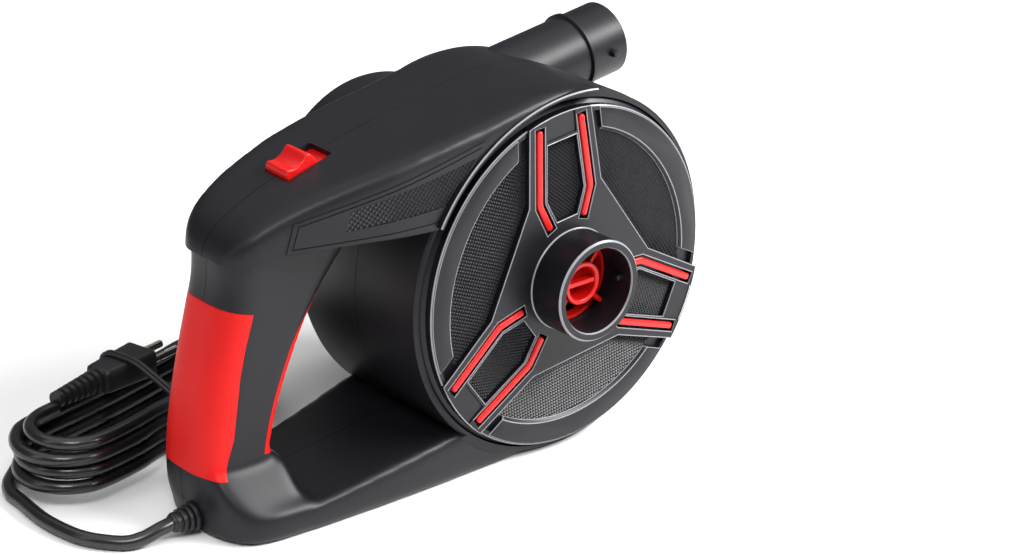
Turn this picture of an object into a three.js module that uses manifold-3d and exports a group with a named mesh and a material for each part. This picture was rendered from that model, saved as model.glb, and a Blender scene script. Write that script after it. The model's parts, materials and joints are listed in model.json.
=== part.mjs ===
// Mains air pump for mattresses: a drum-shaped blower with a closed handle, an outlet tube,
// an intake port in the middle of its side cover, and a power cord folded into a hank.
// Millimetres, +Z up, +X towards the outlet, -Y towards the side cover.
// Inside the group the drum's axis is the Y axis and the housing is split at Y = 0.
import * as THREE from 'three';
import { mergeVertices } from 'three/addons/utils/BufferGeometryUtils.js';
import Module from 'manifold-3d';

const wasm = await Module();
wasm.setup();

// ---- driving dimensions -------------------------------------------------------------------
const gap = 0.3; // clearance between pieces that touch
const wall = 2.8; // housing wall
const ringSides = 48; // facets of the large round parts
const rodSides = 14; // facets of shafts and small round parts

const drumRadius = 93.5;
const drumNear = -46.2; // near rim of the drum
const drumFar = 49; // outside of the drum's far wall
const discFront = -51.5; // front face of the side cover
const discRadius = 88;
const discThickness = 3;
const recessRadius = 95.4; // round cut-out in the hood, around the side cover
const recessLip = 2.6;

const hubReach = 22; // how far the intake port stands out of the side cover
const hubRadius = 26;
const hubBoreRadius = 21.8;
const hubInnerEnd = -34;

const baseBottom = -93.5;
const handleHalfWidth = 22;
const gripThickness = 3;

const outletRadius = 19.2;
const outletBoreRadius = 16.6;
const outletY = 20.5;
const outletSlope = Math.atan(0.166);
const outletRise = 77.6; // height of the outlet's axis at outletStart
const outletStart = 10;
const outletLength = 75.5;
const outletRingAt = 50; // distance of the collar along the tube
const outletRingWidth = 3.2;
const outletRingHeight = 1.5;
const outletPegAt = 65;
const outletEnd = -8; // closed inner end of the tube, under the hood
const outletSides = 32;

const impellerRadius = 74;
const impellerNear = 6;
const impellerDepth = 29;
const bladeCount = 9;
const eyeRadius = 27;

const scrollPlateNear = -1;
const scrollPlateThickness = 2.2;
const motorPlateNear = 38.5;
const motorPlateThickness = 3;

const motorSides = 28; // facets of the motor's round parts
const motorRadius = 31; // outside of the motor's core and brackets
const coreNear = 58;
const coreLength = 28;
const armatureRadius = 18.5;
const coilThickness = 6;
const coilOverhang = 6.5;
const commutatorRadius = 8.5;
const commutatorNear = 93;
const commutatorLength = 7.5;
const bearingRadius = 8;
const bearingLength = 5;
const shaftRadius = 3;
const shaftNear = 2;
const shaftFar = 111;
const motorCoverRadius = 64;
const motorCoverEnd = 115;
const motorCoverWall = 2.5;

const knobTravel = 8;
const knobLength = 18;
const knobWidth = 17;
const slotClearance = 0.7;

const cordRadius = 3.5;
const hankTurns = 4;
const hankTurnRadius = 24;
const hankRun = 105; // distance between the centres of the hank's two round ends

// ---- colours and finishes -----------------------------------------------------------------
const finish = (color, roughness, metalness = 0) =>
  new THREE.MeshStandardMaterial({ color, roughness, metalness });
const blackAbs = finish('#242428', 0.5);
const coverAbs = finish('#1c1c20', 0.45);
const redAbs = finish('#d92a22', 0.4);
const redRubber = finish('#d8241f', 0.65);
const innerPlastic = finish('#3a3a3e', 0.6);
const pvc = finish('#101012', 0.3);
const steel = finish('#9a9ca0', 0.35, 1);
const copper = finish('#b5622e', 0.4, 1);
const carbon = finish('#2a2a2c', 0.7);

// ---- small modelling tools ----------------------------------------------------------------
const v2 = (x, y) => new THREE.Vector2(x, y);
const v3 = (x, y, z) => new THREE.Vector3(x, y, z);

function solidOf(geometry) {
  const clean = geometry.index ? geometry.toNonIndexed() : geometry.clone();
  clean.deleteAttribute('normal');
  clean.deleteAttribute('uv');
  const merged = mergeVertices(clean, 1e-4);
  const position = merged.attributes.position.array;
  const kept = [];
  for (let i = 0; i < merged.index.count; i += 3) {
    const [a, b, c] = [0, 1, 2].map((k) => merged.index.getX(i + k));
    if (a !== b && b !== c && a !== c) kept.push(a, b, c);
  }
  return new wasm.Manifold(new wasm.Mesh({
    numProp: 3,
    vertProperties: new Float32Array(position),
    triVerts: new Uint32Array(kept),
  }));
}

function geometryOf(solid) {
  const mesh = solid.getMesh();
  const geometry = new THREE.BufferGeometry();
  geometry.setAttribute('position', new THREE.BufferAttribute(mesh.vertProperties, 3));
  geometry.setIndex(new THREE.BufferAttribute(mesh.triVerts, 1));
  geometry.computeVertexNormals();
  return geometry;
}

const join = (solids) => solids.reduce((whole, solid) => whole.add(solid));
const cut = (solid, cutters) => cutters.reduce((rest, cutter) => rest.subtract(cutter), solid);

function extrude(loop, depth, holes = []) {
  const shape = new THREE.Shape(loop);
  shape.holes = holes.map((hole) => new THREE.Path(hole));
  return new THREE.ExtrudeGeometry(shape, { depth, bevelEnabled: false, steps: 1 });
}

// A loop of (x, z) points as a prism between two Y values.
function prismY(loop, y0, y1, holes) {
  return solidOf(extrude(loop, y1 - y0, holes).rotateX(Math.PI / 2).translate(0, y1, 0));
}

// A loop of (y, z) points as a prism between two X values.
function prismX(loop, x0, x1, holes) {
  const turn = new THREE.Matrix4().makeBasis(v3(0, 1, 0), v3(0, 0, 1), v3(1, 0, 0));
  return solidOf(extrude(loop, x1 - x0, holes).applyMatrix4(turn).translate(x0, 0, 0));
}

// A loop of (x, y) points as a prism between two Z values.
function prismZ(loop, z0, z1, holes) {
  return solidOf(extrude(loop, z1 - z0, holes).translate(0, 0, z0));
}

// A closed (radius, y) profile turned about the Y axis, moved to (x, z).
function turned(profile, sides = ringSides, x = 0, z = 0) {
  const loop = profile.map(([r, y]) => v2(r, y));
  if (THREE.ShapeUtils.area(loop) > 0) loop.reverse();
  const onAxis = loop.some((p) => p.x === 0);
  if (!onAxis) loop.push(loop[0].clone());
  else while (!(loop[0].x === 0 && loop[loop.length - 1].x === 0)) loop.push(loop.shift());
  const geometry = new THREE.LatheGeometry(loop, sides);
  const solid = solidOf(geometry);
  const outward = solid.volume() > 0 ? solid : solidOf(flipped(geometry));
  return outward.translate([x, 0, z]);
}

function flipped(geometry) {
  const turnedOut = geometry.clone();
  const index = turnedOut.index;
  for (let i = 0; i < index.count; i += 3) {
    const second = index.getX(i + 1);
    index.setX(i + 1, index.getX(i + 2));
    index.setX(i + 2, second);
  }
  return turnedOut;
}

const rodY = (radius, y0, y1, x = 0, z = 0, sides = rodSides) =>
  solidOf(new THREE.CylinderGeometry(radius, radius, y1 - y0, sides).translate(x, (y0 + y1) / 2, z));

const rodX = (radius, x0, x1, y, z, sides = rodSides) =>
  solidOf(new THREE.CylinderGeometry(radius, radius, x1 - x0, sides)
    .rotateZ(Math.PI / 2).translate((x0 + x1) / 2, y, z));

const rodZ = (radius, z0, z1, x, y, sides = rodSides) =>
  solidOf(new THREE.CylinderGeometry(radius, radius, z1 - z0, sides)
    .rotateX(Math.PI / 2).translate(x, y, (z0 + z1) / 2));

const box = (x0, x1, y0, y1, z0, z1) =>
  solidOf(new THREE.BoxGeometry(x1 - x0, y1 - y0, z1 - z0)
    .translate((x0 + x1) / 2, (y0 + y1) / 2, (z0 + z1) / 2));

const tubeY = (outer, inner, y0, y1, x = 0, z = 0, sides = ringSides) =>
  turned([[inner, y0], [outer, y0], [outer, y1], [inner, y1]], sides, x, z);

// Moves each point of a closed loop inwards by a distance, along its mean edge normal, and
// leaves out the points that a tight corner would push too near the loop's other side.
function inset(loop, distance) {
  if (distance === 0) return loop;
  const side = THREE.ShapeUtils.isClockWise(loop) ? -1 : 1;
  const edge = (i) => loop[(i + 1) % loop.length].clone().sub(loop[i % loop.length]);
  const moved = loop.map((point, i) => {
    const a = edge(i + loop.length - 1).normalize();
    const b = edge(i).normalize();
    const normal = v2(-(a.y + b.y), a.x + b.x).normalize();
    const spread = Math.max(0.3, normal.dot(v2(-a.y, a.x)));
    return point.clone().addScaledVector(normal, (side * distance) / spread);
  });
  return moved.filter((point) => loop.every((from, i) => {
    const along = edge(i);
    const t = THREE.MathUtils.clamp(point.clone().sub(from).dot(along) / along.lengthSq(), 0, 1);
    return point.distanceTo(from.clone().addScaledVector(along, t)) > Math.abs(distance) * 0.97;
  }));
}

// Distinct points of a path, without a repeated last one.
function sampled(path, divisions) {
  const points = path.getPoints(divisions);
  const distinct = points.filter((p, i) => i === 0 || p.distanceTo(points[i - 1]) > 1e-3);
  if (distinct[0].distanceTo(distinct[distinct.length - 1]) < 1e-3) distinct.pop();
  return distinct;
}

const pump = new THREE.Group();

function place(name, solid, material) {
  const mesh = new THREE.Mesh(geometryOf(solid), material);
  mesh.name = name;
  pump.add(mesh);
  return mesh;
}

// ---- outlines of the housing --------------------------------------------------------------
const polar = (radius, degrees) =>
  v2(radius * Math.cos(THREE.MathUtils.degToRad(degrees)), radius * Math.sin(THREE.MathUtils.degToRad(degrees)));

// Side view of the hood: its back slopes down to the handle, its front runs into the drum.
function hoodSide() {
  const path = new THREE.Path();
  path.moveTo(30, 55);
  path.lineTo(polar(drumRadius - 0.2, 58).x, polar(drumRadius - 0.2, 58).y);
  path.splineThru([v2(37, 86.5), v2(22, 92.9), v2(2, 98), v2(-21, 98), v2(-66, 89), v2(-92, 83.6),
    v2(-120, 76), v2(-141, 69.2), v2(-155, 63.6), v2(-169, 56.5), v2(-178, 49.5), v2(-181.5, 41)]);
  path.lineTo(-171, 40.4);
  path.splineThru([v2(-156, 43), v2(-129, 45.5), v2(-84, 45.5)]);
  path.lineTo(-60, 45.5);
  return sampled(path, 4);
}

// Plan of the hood: narrow at the handle, full width over the drum.
function hoodPlan() {
  const path = new THREE.Path();
  path.moveTo(70, -54);
  path.lineTo(-37, -54);
  path.splineThru([v2(-70, -52.5), v2(-104, -48.5), v2(-131, -40.5), v2(-158, -31), v2(-174, -25),
    v2(-181, -14), v2(-182.5, 0), v2(-181, 13), v2(-173, 23.5), v2(-155, 30.5), v2(-120, 36)]);
  path.lineTo(70, 36);
  return sampled(path, 3);
}

// Side view of the handle and of the base that carries the drum.
function handleSide() {
  const path = new THREE.Path();
  path.moveTo(-168, 53);
  path.lineTo(-178.5, 46.5);
  path.splineThru([v2(-179.5, 28), v2(-184, 8), v2(-190, -17), v2(-194, -38), v2(-196, -55), v2(-196.5, -72),
    v2(-193.5, -85), v2(-186, baseBottom)]);
  path.lineTo(0, baseBottom);
  path.lineTo(0, -70);
  path.lineTo(-55, -66);
  path.lineTo(-140, -77.4);
  path.splineThru([v2(-150, -77.5), v2(-157, -73.5), v2(-160.5, -65), v2(-158.5, -48), v2(-155.4, -32),
    v2(-149, -13), v2(-139, 5), v2(-129, 19), v2(-117, 33), v2(-106, 44)]);
  path.lineTo(-98, 53);
  return sampled(path, 4);
}

// Side view of the wide base plate alone.
function baseSide() {
  return [v2(-198, baseBottom), v2(0, baseBottom), v2(0, -70), v2(-55, -66), v2(-140, -77.4),
    v2(-150, -78.5), v2(-198, -80)];
}

function basePlan() {
  const path = new THREE.Path();
  path.moveTo(0, -45);
  path.splineThru([v2(-30, -46), v2(-90, -47.5), v2(-148, -46), v2(-176, -43.5), v2(-188, -37), v2(-194, -24),
    v2(-195.5, -8), v2(-194, 8), v2(-188, 19), v2(-172, 26), v2(-148, 28.5), v2(-122, 31.5)]);
  path.splineThru([v2(-95, 37), v2(-68, 43), v2(-35, 46), v2(0, 46.5)]);
  return sampled(path, 3);
}

// Front view of the gusset where the handle widens into the base plate.
const gussetFront = () => [v2(-handleHalfWidth, -62), v2(-43, -80), v2(-43, -88), v2(26, -88), v2(26, -80),
  v2(handleHalfWidth, -62)];

// The housing's outside, or the space inside it when it is drawn smaller by its wall.
function hoodBody(by) {
  return prismY(inset(hoodSide(), by), -60, 60).intersect(prismZ(inset(hoodPlan(), by), 0, 130));
}

function frameBody(by) {
  const handle = prismY(inset(handleSide(), by), -handleHalfWidth + by, handleHalfWidth - by);
  const base = prismY(inset(baseSide(), by), -60, 60);
  const gusset = prismX(inset(gussetFront(), by), -193 + by, -153 - by);
  return handle.add(base.add(gusset).intersect(prismZ(inset(basePlan(), by), -100, 0)));
}

const drumBody = rodY(drumRadius, drumNear, drumFar, 0, 0, ringSides);
const discRecess = rodY(recessRadius, drumNear - 20, drumNear, 0, 0, ringSides);
const lipKeep = rodY(recessRadius + recessLip, drumNear - 20, drumNear + wall, 0, 0, ringSides);
const drumSpace = rodY(drumRadius - wall, drumNear - 1, drumFar - wall, 0, 0, ringSides);

// ---- places that pieces share ---------------------------------------------------------------
const outletTurn = (geometry) => {
  geometry.rotateZ(-Math.PI / 2);
  geometry.rotateY(-outletSlope);
  return geometry.translate(outletStart, outletY, outletRise);
};
// A (radius, distance) profile turned about the outlet's axis.
const alongOutlet = (profile) => solidOf(outletTurn(geometryOf(turned(profile, outletSides))));

const slopeOf = Math.atan2(76 - 69.2, 21); // fall of the hood at the switch
const slotCentre = v3(-126.5, 0, 73.8);
const slotLength = knobLength + knobTravel + 2 * slotClearance;
const slotWidth = knobWidth + 2 * slotClearance;

// A solid drawn about the origin with its length along X, set on the hood's slope.
const onSlope = (solid, along = 0, lift = 0) => solid
  .translate([along, 0, lift])
  .rotate([0, -THREE.MathUtils.radToDeg(slopeOf), 0])
  .translate(slotCentre.toArray());

const screwSeats = [v2(-158, 33), v2(-181, -30), v2(-140, -85.5), v2(-78, -80), v2(-92, 62)];
const screwRadius = 1.8;
const screwHeadRadius = 3.4;
const bossRadius = 5;
const screwHeadDepth = 14;

const motorCoverScrews = [45, 135, 225, 315].map((angle) => polar(motorCoverRadius + 6, angle));
const plateScrews = [90, 210, 330].map((angle) => polar(84, angle));

const glandY = -9;
const glandZ = -85;
const glandX = -193;
const glandRadius = 5.6;

// ---- housing --------------------------------------------------------------------------------
const outside = join([hoodBody(0), drumBody, frameBody(0)]);
const hollow = join([hoodBody(wall), frameBody(wall)])
  .subtract(join([drumBody, lipKeep]))
  .add(drumSpace);
const outletHole = alongOutlet([[0, outletEnd - gap], [outletRadius + gap, outletEnd - gap],
  [outletRadius + gap, outletRingAt - gap], [outletRadius + outletRingHeight + gap, outletRingAt - gap],
  [outletRadius + outletRingHeight + gap, outletLength + 20], [0, outletLength + 20]]);
const slotHole = onSlope(box(-slotLength / 2, slotLength / 2, -slotWidth / 2, slotWidth / 2, -14, 20));
const glandHole = rodX(glandRadius + gap, glandX - 20, glandX + 14, glandY, glandZ);
// The far wall is open in the middle, where the motor passes into its own cover.
const motorHole = rodY(motorCoverRadius - 8, drumFar - wall - 1, drumFar + 1, 0, 0, ringSides);

// ---- grips ------------------------------------------------------------------------------------
// A strip of even thickness along one edge of the handle, between two heights.
function handleBand(top, bottom, rear, depth = 0) {
  const within = rear ? (x) => x < -176 : (x) => x > -170 && x < -120;
  const edge = handleSide().filter((p) => within(p.x) && p.y < top && p.y > bottom);
  edge.sort((a, b) => b.y - a.y);
  const inwards = rear ? 1 : -1;
  const outer = edge.map((p) => v2(p.x + inwards * depth, p.y));
  const inner = edge.map((p) => v2(p.x + inwards * (depth + gripThickness), p.y));
  return [...outer, ...inner.reverse()];
}

const rearGripLoop = (depth) => handleBand(15, -67, true, depth);
const fingerGripLoop = (depth) => handleBand(19, -64, false, depth);
const rearGripHalf = handleHalfWidth;
const fingerGripHalf = handleHalfWidth - 5;
const seatOf = (loop, halfWidth) => prismY(inset(loop, -gap), -halfWidth - gap, halfWidth + gap);
const rearGripSeat = seatOf(rearGripLoop(), rearGripHalf);
const fingerGripSeat = seatOf(fingerGripLoop(), fingerGripHalf);
const gripBacking = join([
  seatOf(rearGripLoop(gripThickness), rearGripHalf),
  seatOf(fingerGripLoop(gripThickness), fingerGripHalf),
]).intersect(frameBody(0));

// ---- what the halves carry inside ---------------------------------------------------------------
const bossesAt = (y0, y1) => join(screwSeats.map((seat) => rodY(bossRadius, y0, y1, seat.x, seat.y)))
  .intersect(outside).subtract(drumBody);
const screwHolesNear = join(screwSeats.map(({ x, y }) => rodY(screwRadius + gap, -16, 1, x, y)));
const screwHolesFar = join(screwSeats.map(({ x, y }) => rodY(screwRadius + gap, -1, 70, x, y)
  .add(rodY(screwHeadRadius + gap, screwHeadDepth, 70, x, y))));
const plateFar = motorPlateNear + motorPlateThickness;
const plateBosses = join(plateScrews.map(({ x, y }) => rodY(4.6, plateFar + gap, drumFar - 1, x, y)));
const plateHoles = join(plateScrews.map(({ x, y }) => rodY(screwRadius + gap, plateFar, drumFar - 0.8, x, y)));
const coverBosses = join(motorCoverScrews.map(({ x, y }) => rodY(4.6, drumFar - 6, drumFar - 1, x, y)));
const coverHoles = join(motorCoverScrews.map(({ x, y }) =>
  rodY(screwRadius + gap, drumFar - 5, drumFar + 1, x, y)));

const switchBottom = -20;
const switchTop = -9;
const switchHalf = v2(13, 7); // half length and half width
const switchRibs = join([-9, 9].map((along) => onSlope(
  box(along - 1, along + 1, -60, 60, switchBottom, switchTop - 2))))
  .subtract(onSlope(box(-40, 40, -switchHalf.y - gap, switchHalf.y + gap, -60, 20)))
  .intersect(outside);
const clampX = -176;
const clampHalf = v2(3.5, 9); // half length along X and half width along Y
const clampUnder = glandZ + cordRadius + gap;
const clampHeight = 2.5;
const clampScrewY = glandY - 6.4;
const clampSeat = box(clampX - clampHalf.x, clampX + clampHalf.x, glandY - clampHalf.y, glandY + clampHalf.y,
  baseBottom, clampUnder - gap)
  .subtract(rodX(cordRadius + gap, clampX - 20, clampX + 20, glandY, glandZ))
  .subtract(box(clampX - 20, clampX + 20, glandY - cordRadius - gap, glandY + cordRadius + gap, glandZ, 0))
  .subtract(rodZ(screwRadius * 0.8 + gap, baseBottom + wall, clampUnder + 1, clampX, clampScrewY));

const tube = (points, radius, sides, steps) => {
  const ring = Array.from({ length: sides }, (_, i) => polar(radius, ((i + 0.5) * 360) / sides));
  const path = new THREE.CatmullRomCurve3(points);
  return solidOf(new THREE.ExtrudeGeometry(new THREE.Shape(ring),
    { extrudePath: path, steps, bevelEnabled: false }));
};
const wireRoute = [v3(-107.9, 3, 64.2), v3(-101, 11, 67), v3(-92, 22, 62), v3(-80, 30, 51), v3(-70, 34, 44.5),
  v3(-64.5, 38, 41.5), v3(-58, 43.5, 38), v3(-44, 44, 28.8), v3(-27.6, 44, 18)];
const wirePassage = tube(wireRoute, 2.4, 8, 24);

// ---- housing halves -------------------------------------------------------------------------------
const nearSpace = box(-250, 150, -90, -gap / 2, -120, 140);
const farSpace = box(-250, 150, gap / 2, 90, -120, 140);
const shell = cut(outside, [hollow, discRecess, outletHole, motorHole])
  .add(join([gripBacking, switchRibs, clampSeat]));
const bothHalves = [rearGripSeat, fingerGripSeat, slotHole, glandHole];
const nearHalf = cut(shell.intersect(nearSpace).add(bossesAt(-60, -gap / 2)), [screwHolesNear, ...bothHalves]);
const farHalf = cut(
  join([shell.intersect(farSpace), bossesAt(gap / 2, 60), plateBosses, coverBosses]),
  [screwHolesFar, plateHoles, coverHoles, outletHole, wirePassage, ...bothHalves],
);

place('housing_near', nearHalf, blackAbs);
place('housing_far', farHalf, blackAbs);
place('rear_grip', prismY(rearGripLoop(), -rearGripHalf, rearGripHalf), redRubber);
place('finger_grip', prismY(fingerGripLoop(), -fingerGripHalf, fingerGripHalf), redRubber);

// A screw along Y: its shank reaches from y0 to the head, which lies at y1 on the side it points from.
function screw(name, x, z, y0, y1, side = 1) {
  const head = [y1, y1 + side * 2.2].sort((a, b) => a - b);
  const shank = [y0, y1 + side].sort((a, b) => a - b);
  place(name, rodY(screwRadius, ...shank, x, z, 8).add(rodY(screwHeadRadius, ...head, x, z, 12)), steel);
}

screwSeats.forEach(({ x, y }, i) => screw(`housing_screw_${i + 1}`, x, y, -14, screwHeadDepth + gap));

// ---- side cover with its intake port -----------------------------------------------------------------
const hubFront = discFront - hubReach;
const skirtRadius = drumRadius - wall - gap;
const discBack = discFront + discThickness;
const hubInnerRadius = hubBoreRadius + wall;
const stripPoints = [v2(84, 13.3), v2(45, 16.4), v2(30.5, 10.7)];
const stripHalfWidth = 1.8;
const stripDepth = 1.4;
const stripProud = 1.2;
const spokeAngles = [97, -23, -143];

// Outline of one accent strip: a bent bar of even width beside a spoke.
function stripLoop(mirror, grow = 0) {
  const line = stripPoints.map((p) => v2(p.x, p.y * mirror));
  const across = (a, b) => v2(a.y - b.y, b.x - a.x).normalize();
  const first = across(line[0], line[1]);
  const last = across(line[1], line[2]);
  const middle = first.clone().add(last).normalize();
  const normals = [first, middle.multiplyScalar(1 / middle.dot(first)), last];
  const half = stripHalfWidth + grow;
  const ends = [v2(grow, 0), v2(0, 0), v2(-grow, 0)];
  const side = (sign) => line.map((p, i) => p.clone().addScaledVector(normals[i], sign * half).add(ends[i]));
  return [...side(1), ...side(-1).reverse()];
}

const turnedTo = (solid, degrees) => solid.rotate([0, -degrees, 0]);
const eachStrip = (grow, y0, y1) => spokeAngles.flatMap((angle) =>
  [1, -1].map((mirror) => turnedTo(prismY(stripLoop(mirror, grow), y0, y1), angle)));

const coverShell = turned([
  [hubBoreRadius, hubFront], [hubRadius, hubFront], [hubRadius, discFront], [discRadius - 1.5, discFront],
  [discRadius, discFront + 1.5], [discRadius, drumNear - 1], [skirtRadius, drumNear + 1.4],
  [skirtRadius, drumNear + 9], [skirtRadius - wall, drumNear + 9], [skirtRadius - wall, discBack],
  [hubInnerRadius, discBack], [hubInnerRadius, hubInnerEnd], [hubBoreRadius, hubInnerEnd],
]);
const bayonetPeg = rodX(1.8, hubBoreRadius - 3.2, hubBoreRadius + 1, hubFront + 8, 0, 10);
place('side_cover', cut(coverShell.add(bayonetPeg), eachStrip(gap, discFront - 1, discFront + stripDepth + gap)),
  coverAbs);
eachStrip(0, discFront - stripProud, discFront + stripDepth)
  .forEach((strip, i) => place(`accent_strip_${i + 1}`, strip, redAbs));

// ---- guard in the port ---------------------------------------------------------------------------------
const guardRadius = hubBoreRadius - gap;
const guardFront = hubFront + 12;
const guardLegs = [20, 110, 200, 290].map((angle) =>
  turnedTo(box(9.5, guardRadius - 0.8, guardFront + 4, guardFront + 13, -1, 1), angle));
place('port_guard', join([
  turned([[9, guardFront], [11, guardFront], [11, guardFront + 13], [0, guardFront + 13],
    [0, guardFront + 11], [9, guardFront + 11]], 28),
  box(-9.5, 9.5, guardFront + 1, guardFront + 5, -1.2, 1.2),
  tubeY(guardRadius, guardRadius - 1.6, guardFront + 8, guardFront + 13, 0, 0, motorSides),
  ...guardLegs,
]), redAbs);

// ---- outlet tube ---------------------------------------------------------------------------------------
// Bayonet pegs stand on both sides of the tube, along Y.
const outletPegs = [-1, 1].map((side) => {
  const peg = new THREE.CylinderGeometry(2.2, 2.2, 4.4, 10).rotateZ(Math.PI / 2);
  return solidOf(outletTurn(peg.translate(side * (outletRadius + 1), outletPegAt, 0)));
});
const outletRingRadius = outletRadius + outletRingHeight;
const outletRingEnd = outletRingAt + outletRingWidth;
place('outlet_tube', join([
  alongOutlet([
    [0, outletEnd], [outletRadius, outletEnd], [outletRadius, outletRingAt], [outletRingRadius, outletRingAt],
    [outletRingRadius, outletRingEnd], [outletRadius, outletRingEnd], [outletRadius, outletLength],
    [outletBoreRadius, outletLength], [outletBoreRadius, outletEnd + wall], [0, outletEnd + wall]]),
  ...outletPegs,
]).subtract(rodY(drumRadius - wall + gap / 2, -60, 60, 0, 0, ringSides)), blackAbs);

// ---- motor cover on the far side -------------------------------------------------------------------------
const coverNear = drumFar + gap;
const coverFlange = motorCoverRadius + 11;
const coverVents = [-3, -2, -1, 0, 1, 2, 3].map((row) => {
  const half = 34 - Math.abs(row) * 3.5;
  return box(-half, half, motorCoverEnd - 6, motorCoverEnd + 1, row * 11 - 2.2, row * 11 + 2.2);
});
place('motor_cover', cut(turned([
  [coverFlange, coverNear], [coverFlange, coverNear + 3], [motorCoverRadius, coverNear + 3],
  [motorCoverRadius, motorCoverEnd - 8], [motorCoverRadius - 2.4, motorCoverEnd - 2.4],
  [motorCoverRadius - 8, motorCoverEnd], [0, motorCoverEnd], [0, motorCoverEnd - motorCoverWall],
  [motorCoverRadius - 8.6, motorCoverEnd - motorCoverWall],
  [motorCoverRadius - motorCoverWall, motorCoverEnd - 9], [motorCoverRadius - motorCoverWall, coverNear],
]), [...coverVents, ...motorCoverScrews.map(({ x, y }) =>
  rodY(screwRadius + gap, coverNear - 1, coverNear + 4, x, y))]), blackAbs);
motorCoverScrews.forEach(({ x, y }, i) =>
  screw(`cover_screw_${i + 1}`, x, y, drumFar - 4, coverNear + 3 + gap));

// ---- fan chamber ---------------------------------------------------------------------------------------
const scrollPlateFar = scrollPlateNear + scrollPlateThickness;
place('inlet_plate', turned([
  [hubInnerRadius + gap, hubInnerEnd - 5], [hubInnerRadius + gap + 2.2, hubInnerEnd - 5],
  [hubInnerRadius + gap + 2.2, scrollPlateNear], [skirtRadius, scrollPlateNear],
  [skirtRadius, scrollPlateFar], [hubInnerRadius + gap, scrollPlateFar],
]), innerPlastic);

const impellerFar = impellerNear + impellerDepth;
const hubNearEnd = impellerNear + 4;
function bladeLoop() {
  const arc = (from, to, sweep) => Array.from({ length: 5 }, (_, i) =>
    polar(THREE.MathUtils.lerp(from, to, i / 4), sweep * (i / 4) ** 0.8));
  const face = arc(eyeRadius, impellerRadius - 1, -38);
  const back = face.map((p) => p.clone().add(p.clone().rotateAround(v2(0, 0), Math.PI / 2).setLength(1.8)));
  return [...face, ...back.reverse()];
}
place('impeller', join([
  tubeY(9, shaftRadius + gap, hubNearEnd, impellerFar, 0, 0, 24),
  tubeY(impellerRadius, 8.5, impellerFar - 2.2, impellerFar, 0, 0, motorSides),
  tubeY(impellerRadius, impellerRadius - 26, impellerNear, impellerNear + 1.8, 0, 0, motorSides),
  ...Array.from({ length: bladeCount }, (_, i) =>
    turnedTo(prismY(bladeLoop(), impellerNear + 0.5, impellerFar - 1), (i * 360) / bladeCount)),
]), redAbs);
place('impeller_nut', rodY(5.5, hubNearEnd - 5.5, hubNearEnd - gap, 0, 0, 6)
  .subtract(rodY(shaftRadius + gap, hubNearEnd - 6, hubNearEnd, 0, 0, 16)), steel);

place('motor_plate', cut(tubeY(skirtRadius, bearingRadius + 3, motorPlateNear, plateFar),
  [wirePassage, ...plateScrews.map(({ x, y }) =>
    rodY(screwRadius + gap, motorPlateNear - 1, plateFar + 1, x, y))]), innerPlastic);
plateScrews.forEach(({ x, y }, i) =>
  screw(`plate_screw_${i + 1}`, x, y, drumFar - 3, motorPlateNear - gap, -1));

// ---- motor ------------------------------------------------------------------------------------------------
const coreFar = coreNear + coreLength;
const rotorClear = 1.2;
const coilInner = armatureRadius + rotorClear;
const coilOuter = coilInner + coilThickness;
const bracketPlate = 2.5;
const rearBracketFar = shaftFar - 2;
const bearingPocket = bearingRadius + gap;
place('front_bracket', join([
  tubeY(motorRadius, shaftRadius + 2, plateFar + gap, plateFar + gap + bracketPlate, 0, 0, motorSides),
  tubeY(motorRadius, motorRadius - 2.4, plateFar + gap, coreNear - gap, 0, 0, motorSides),
  tubeY(bearingPocket + 2.2, bearingPocket, plateFar + gap, plateFar + gap + bracketPlate + bearingLength, 0, 0, 24),
]), steel);
const rearPlateNear = rearBracketFar - bracketPlate;
const brushMiddle = commutatorNear + commutatorLength / 2;
const holderHalf = 4.2;
place('rear_bracket', join([
  tubeY(motorRadius, shaftRadius + 2, rearPlateNear, rearBracketFar, 0, 0, motorSides),
  tubeY(motorRadius, motorRadius - 2.4, coreFar + gap, rearBracketFar, 0, 0, motorSides),
  tubeY(bearingPocket + 2.2, bearingPocket, rearPlateNear - bearingLength, rearBracketFar, 0, 0, 24),
]).subtract(box(-6, 6, brushMiddle - holderHalf - gap, brushMiddle + holderHalf + gap, -40, 40)), innerPlastic);
place('field_core', tubeY(motorRadius, coilOuter + gap, coreNear, coreFar, 0, 0, motorSides), steel);
[0, 180].forEach((angle, i) => place(`field_coil_${i + 1}`, turnedTo(
  tubeY(coilOuter, coilInner, coreNear - coilOverhang, coreFar + coilOverhang, 0, 0, motorSides)
    .intersect(box(6, 40, 0, 150, -40, 40)), angle), copper));
place('armature_core', tubeY(armatureRadius, shaftRadius + gap, coreNear, coreFar, 0, 0, 30), steel);
place('winding_front', tubeY(armatureRadius - 3, shaftRadius + gap, coreNear - 6, coreNear - gap, 0, 0, 24), copper);
place('winding_rear', tubeY(armatureRadius - 3, shaftRadius + gap, coreFar + gap, coreFar + 6, 0, 0, 24), copper);
place('commutator', tubeY(commutatorRadius, shaftRadius + gap, commutatorNear,
  commutatorNear + commutatorLength, 0, 0, 20), copper);
place('motor_shaft', rodY(shaftRadius, shaftNear, shaftFar, 0, 0, 16), steel);
place('bearing_front', tubeY(bearingRadius, shaftRadius + gap, plateFar + gap + bracketPlate + gap,
  plateFar + gap + bracketPlate + bearingLength, 0, 0, 20), steel);
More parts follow.
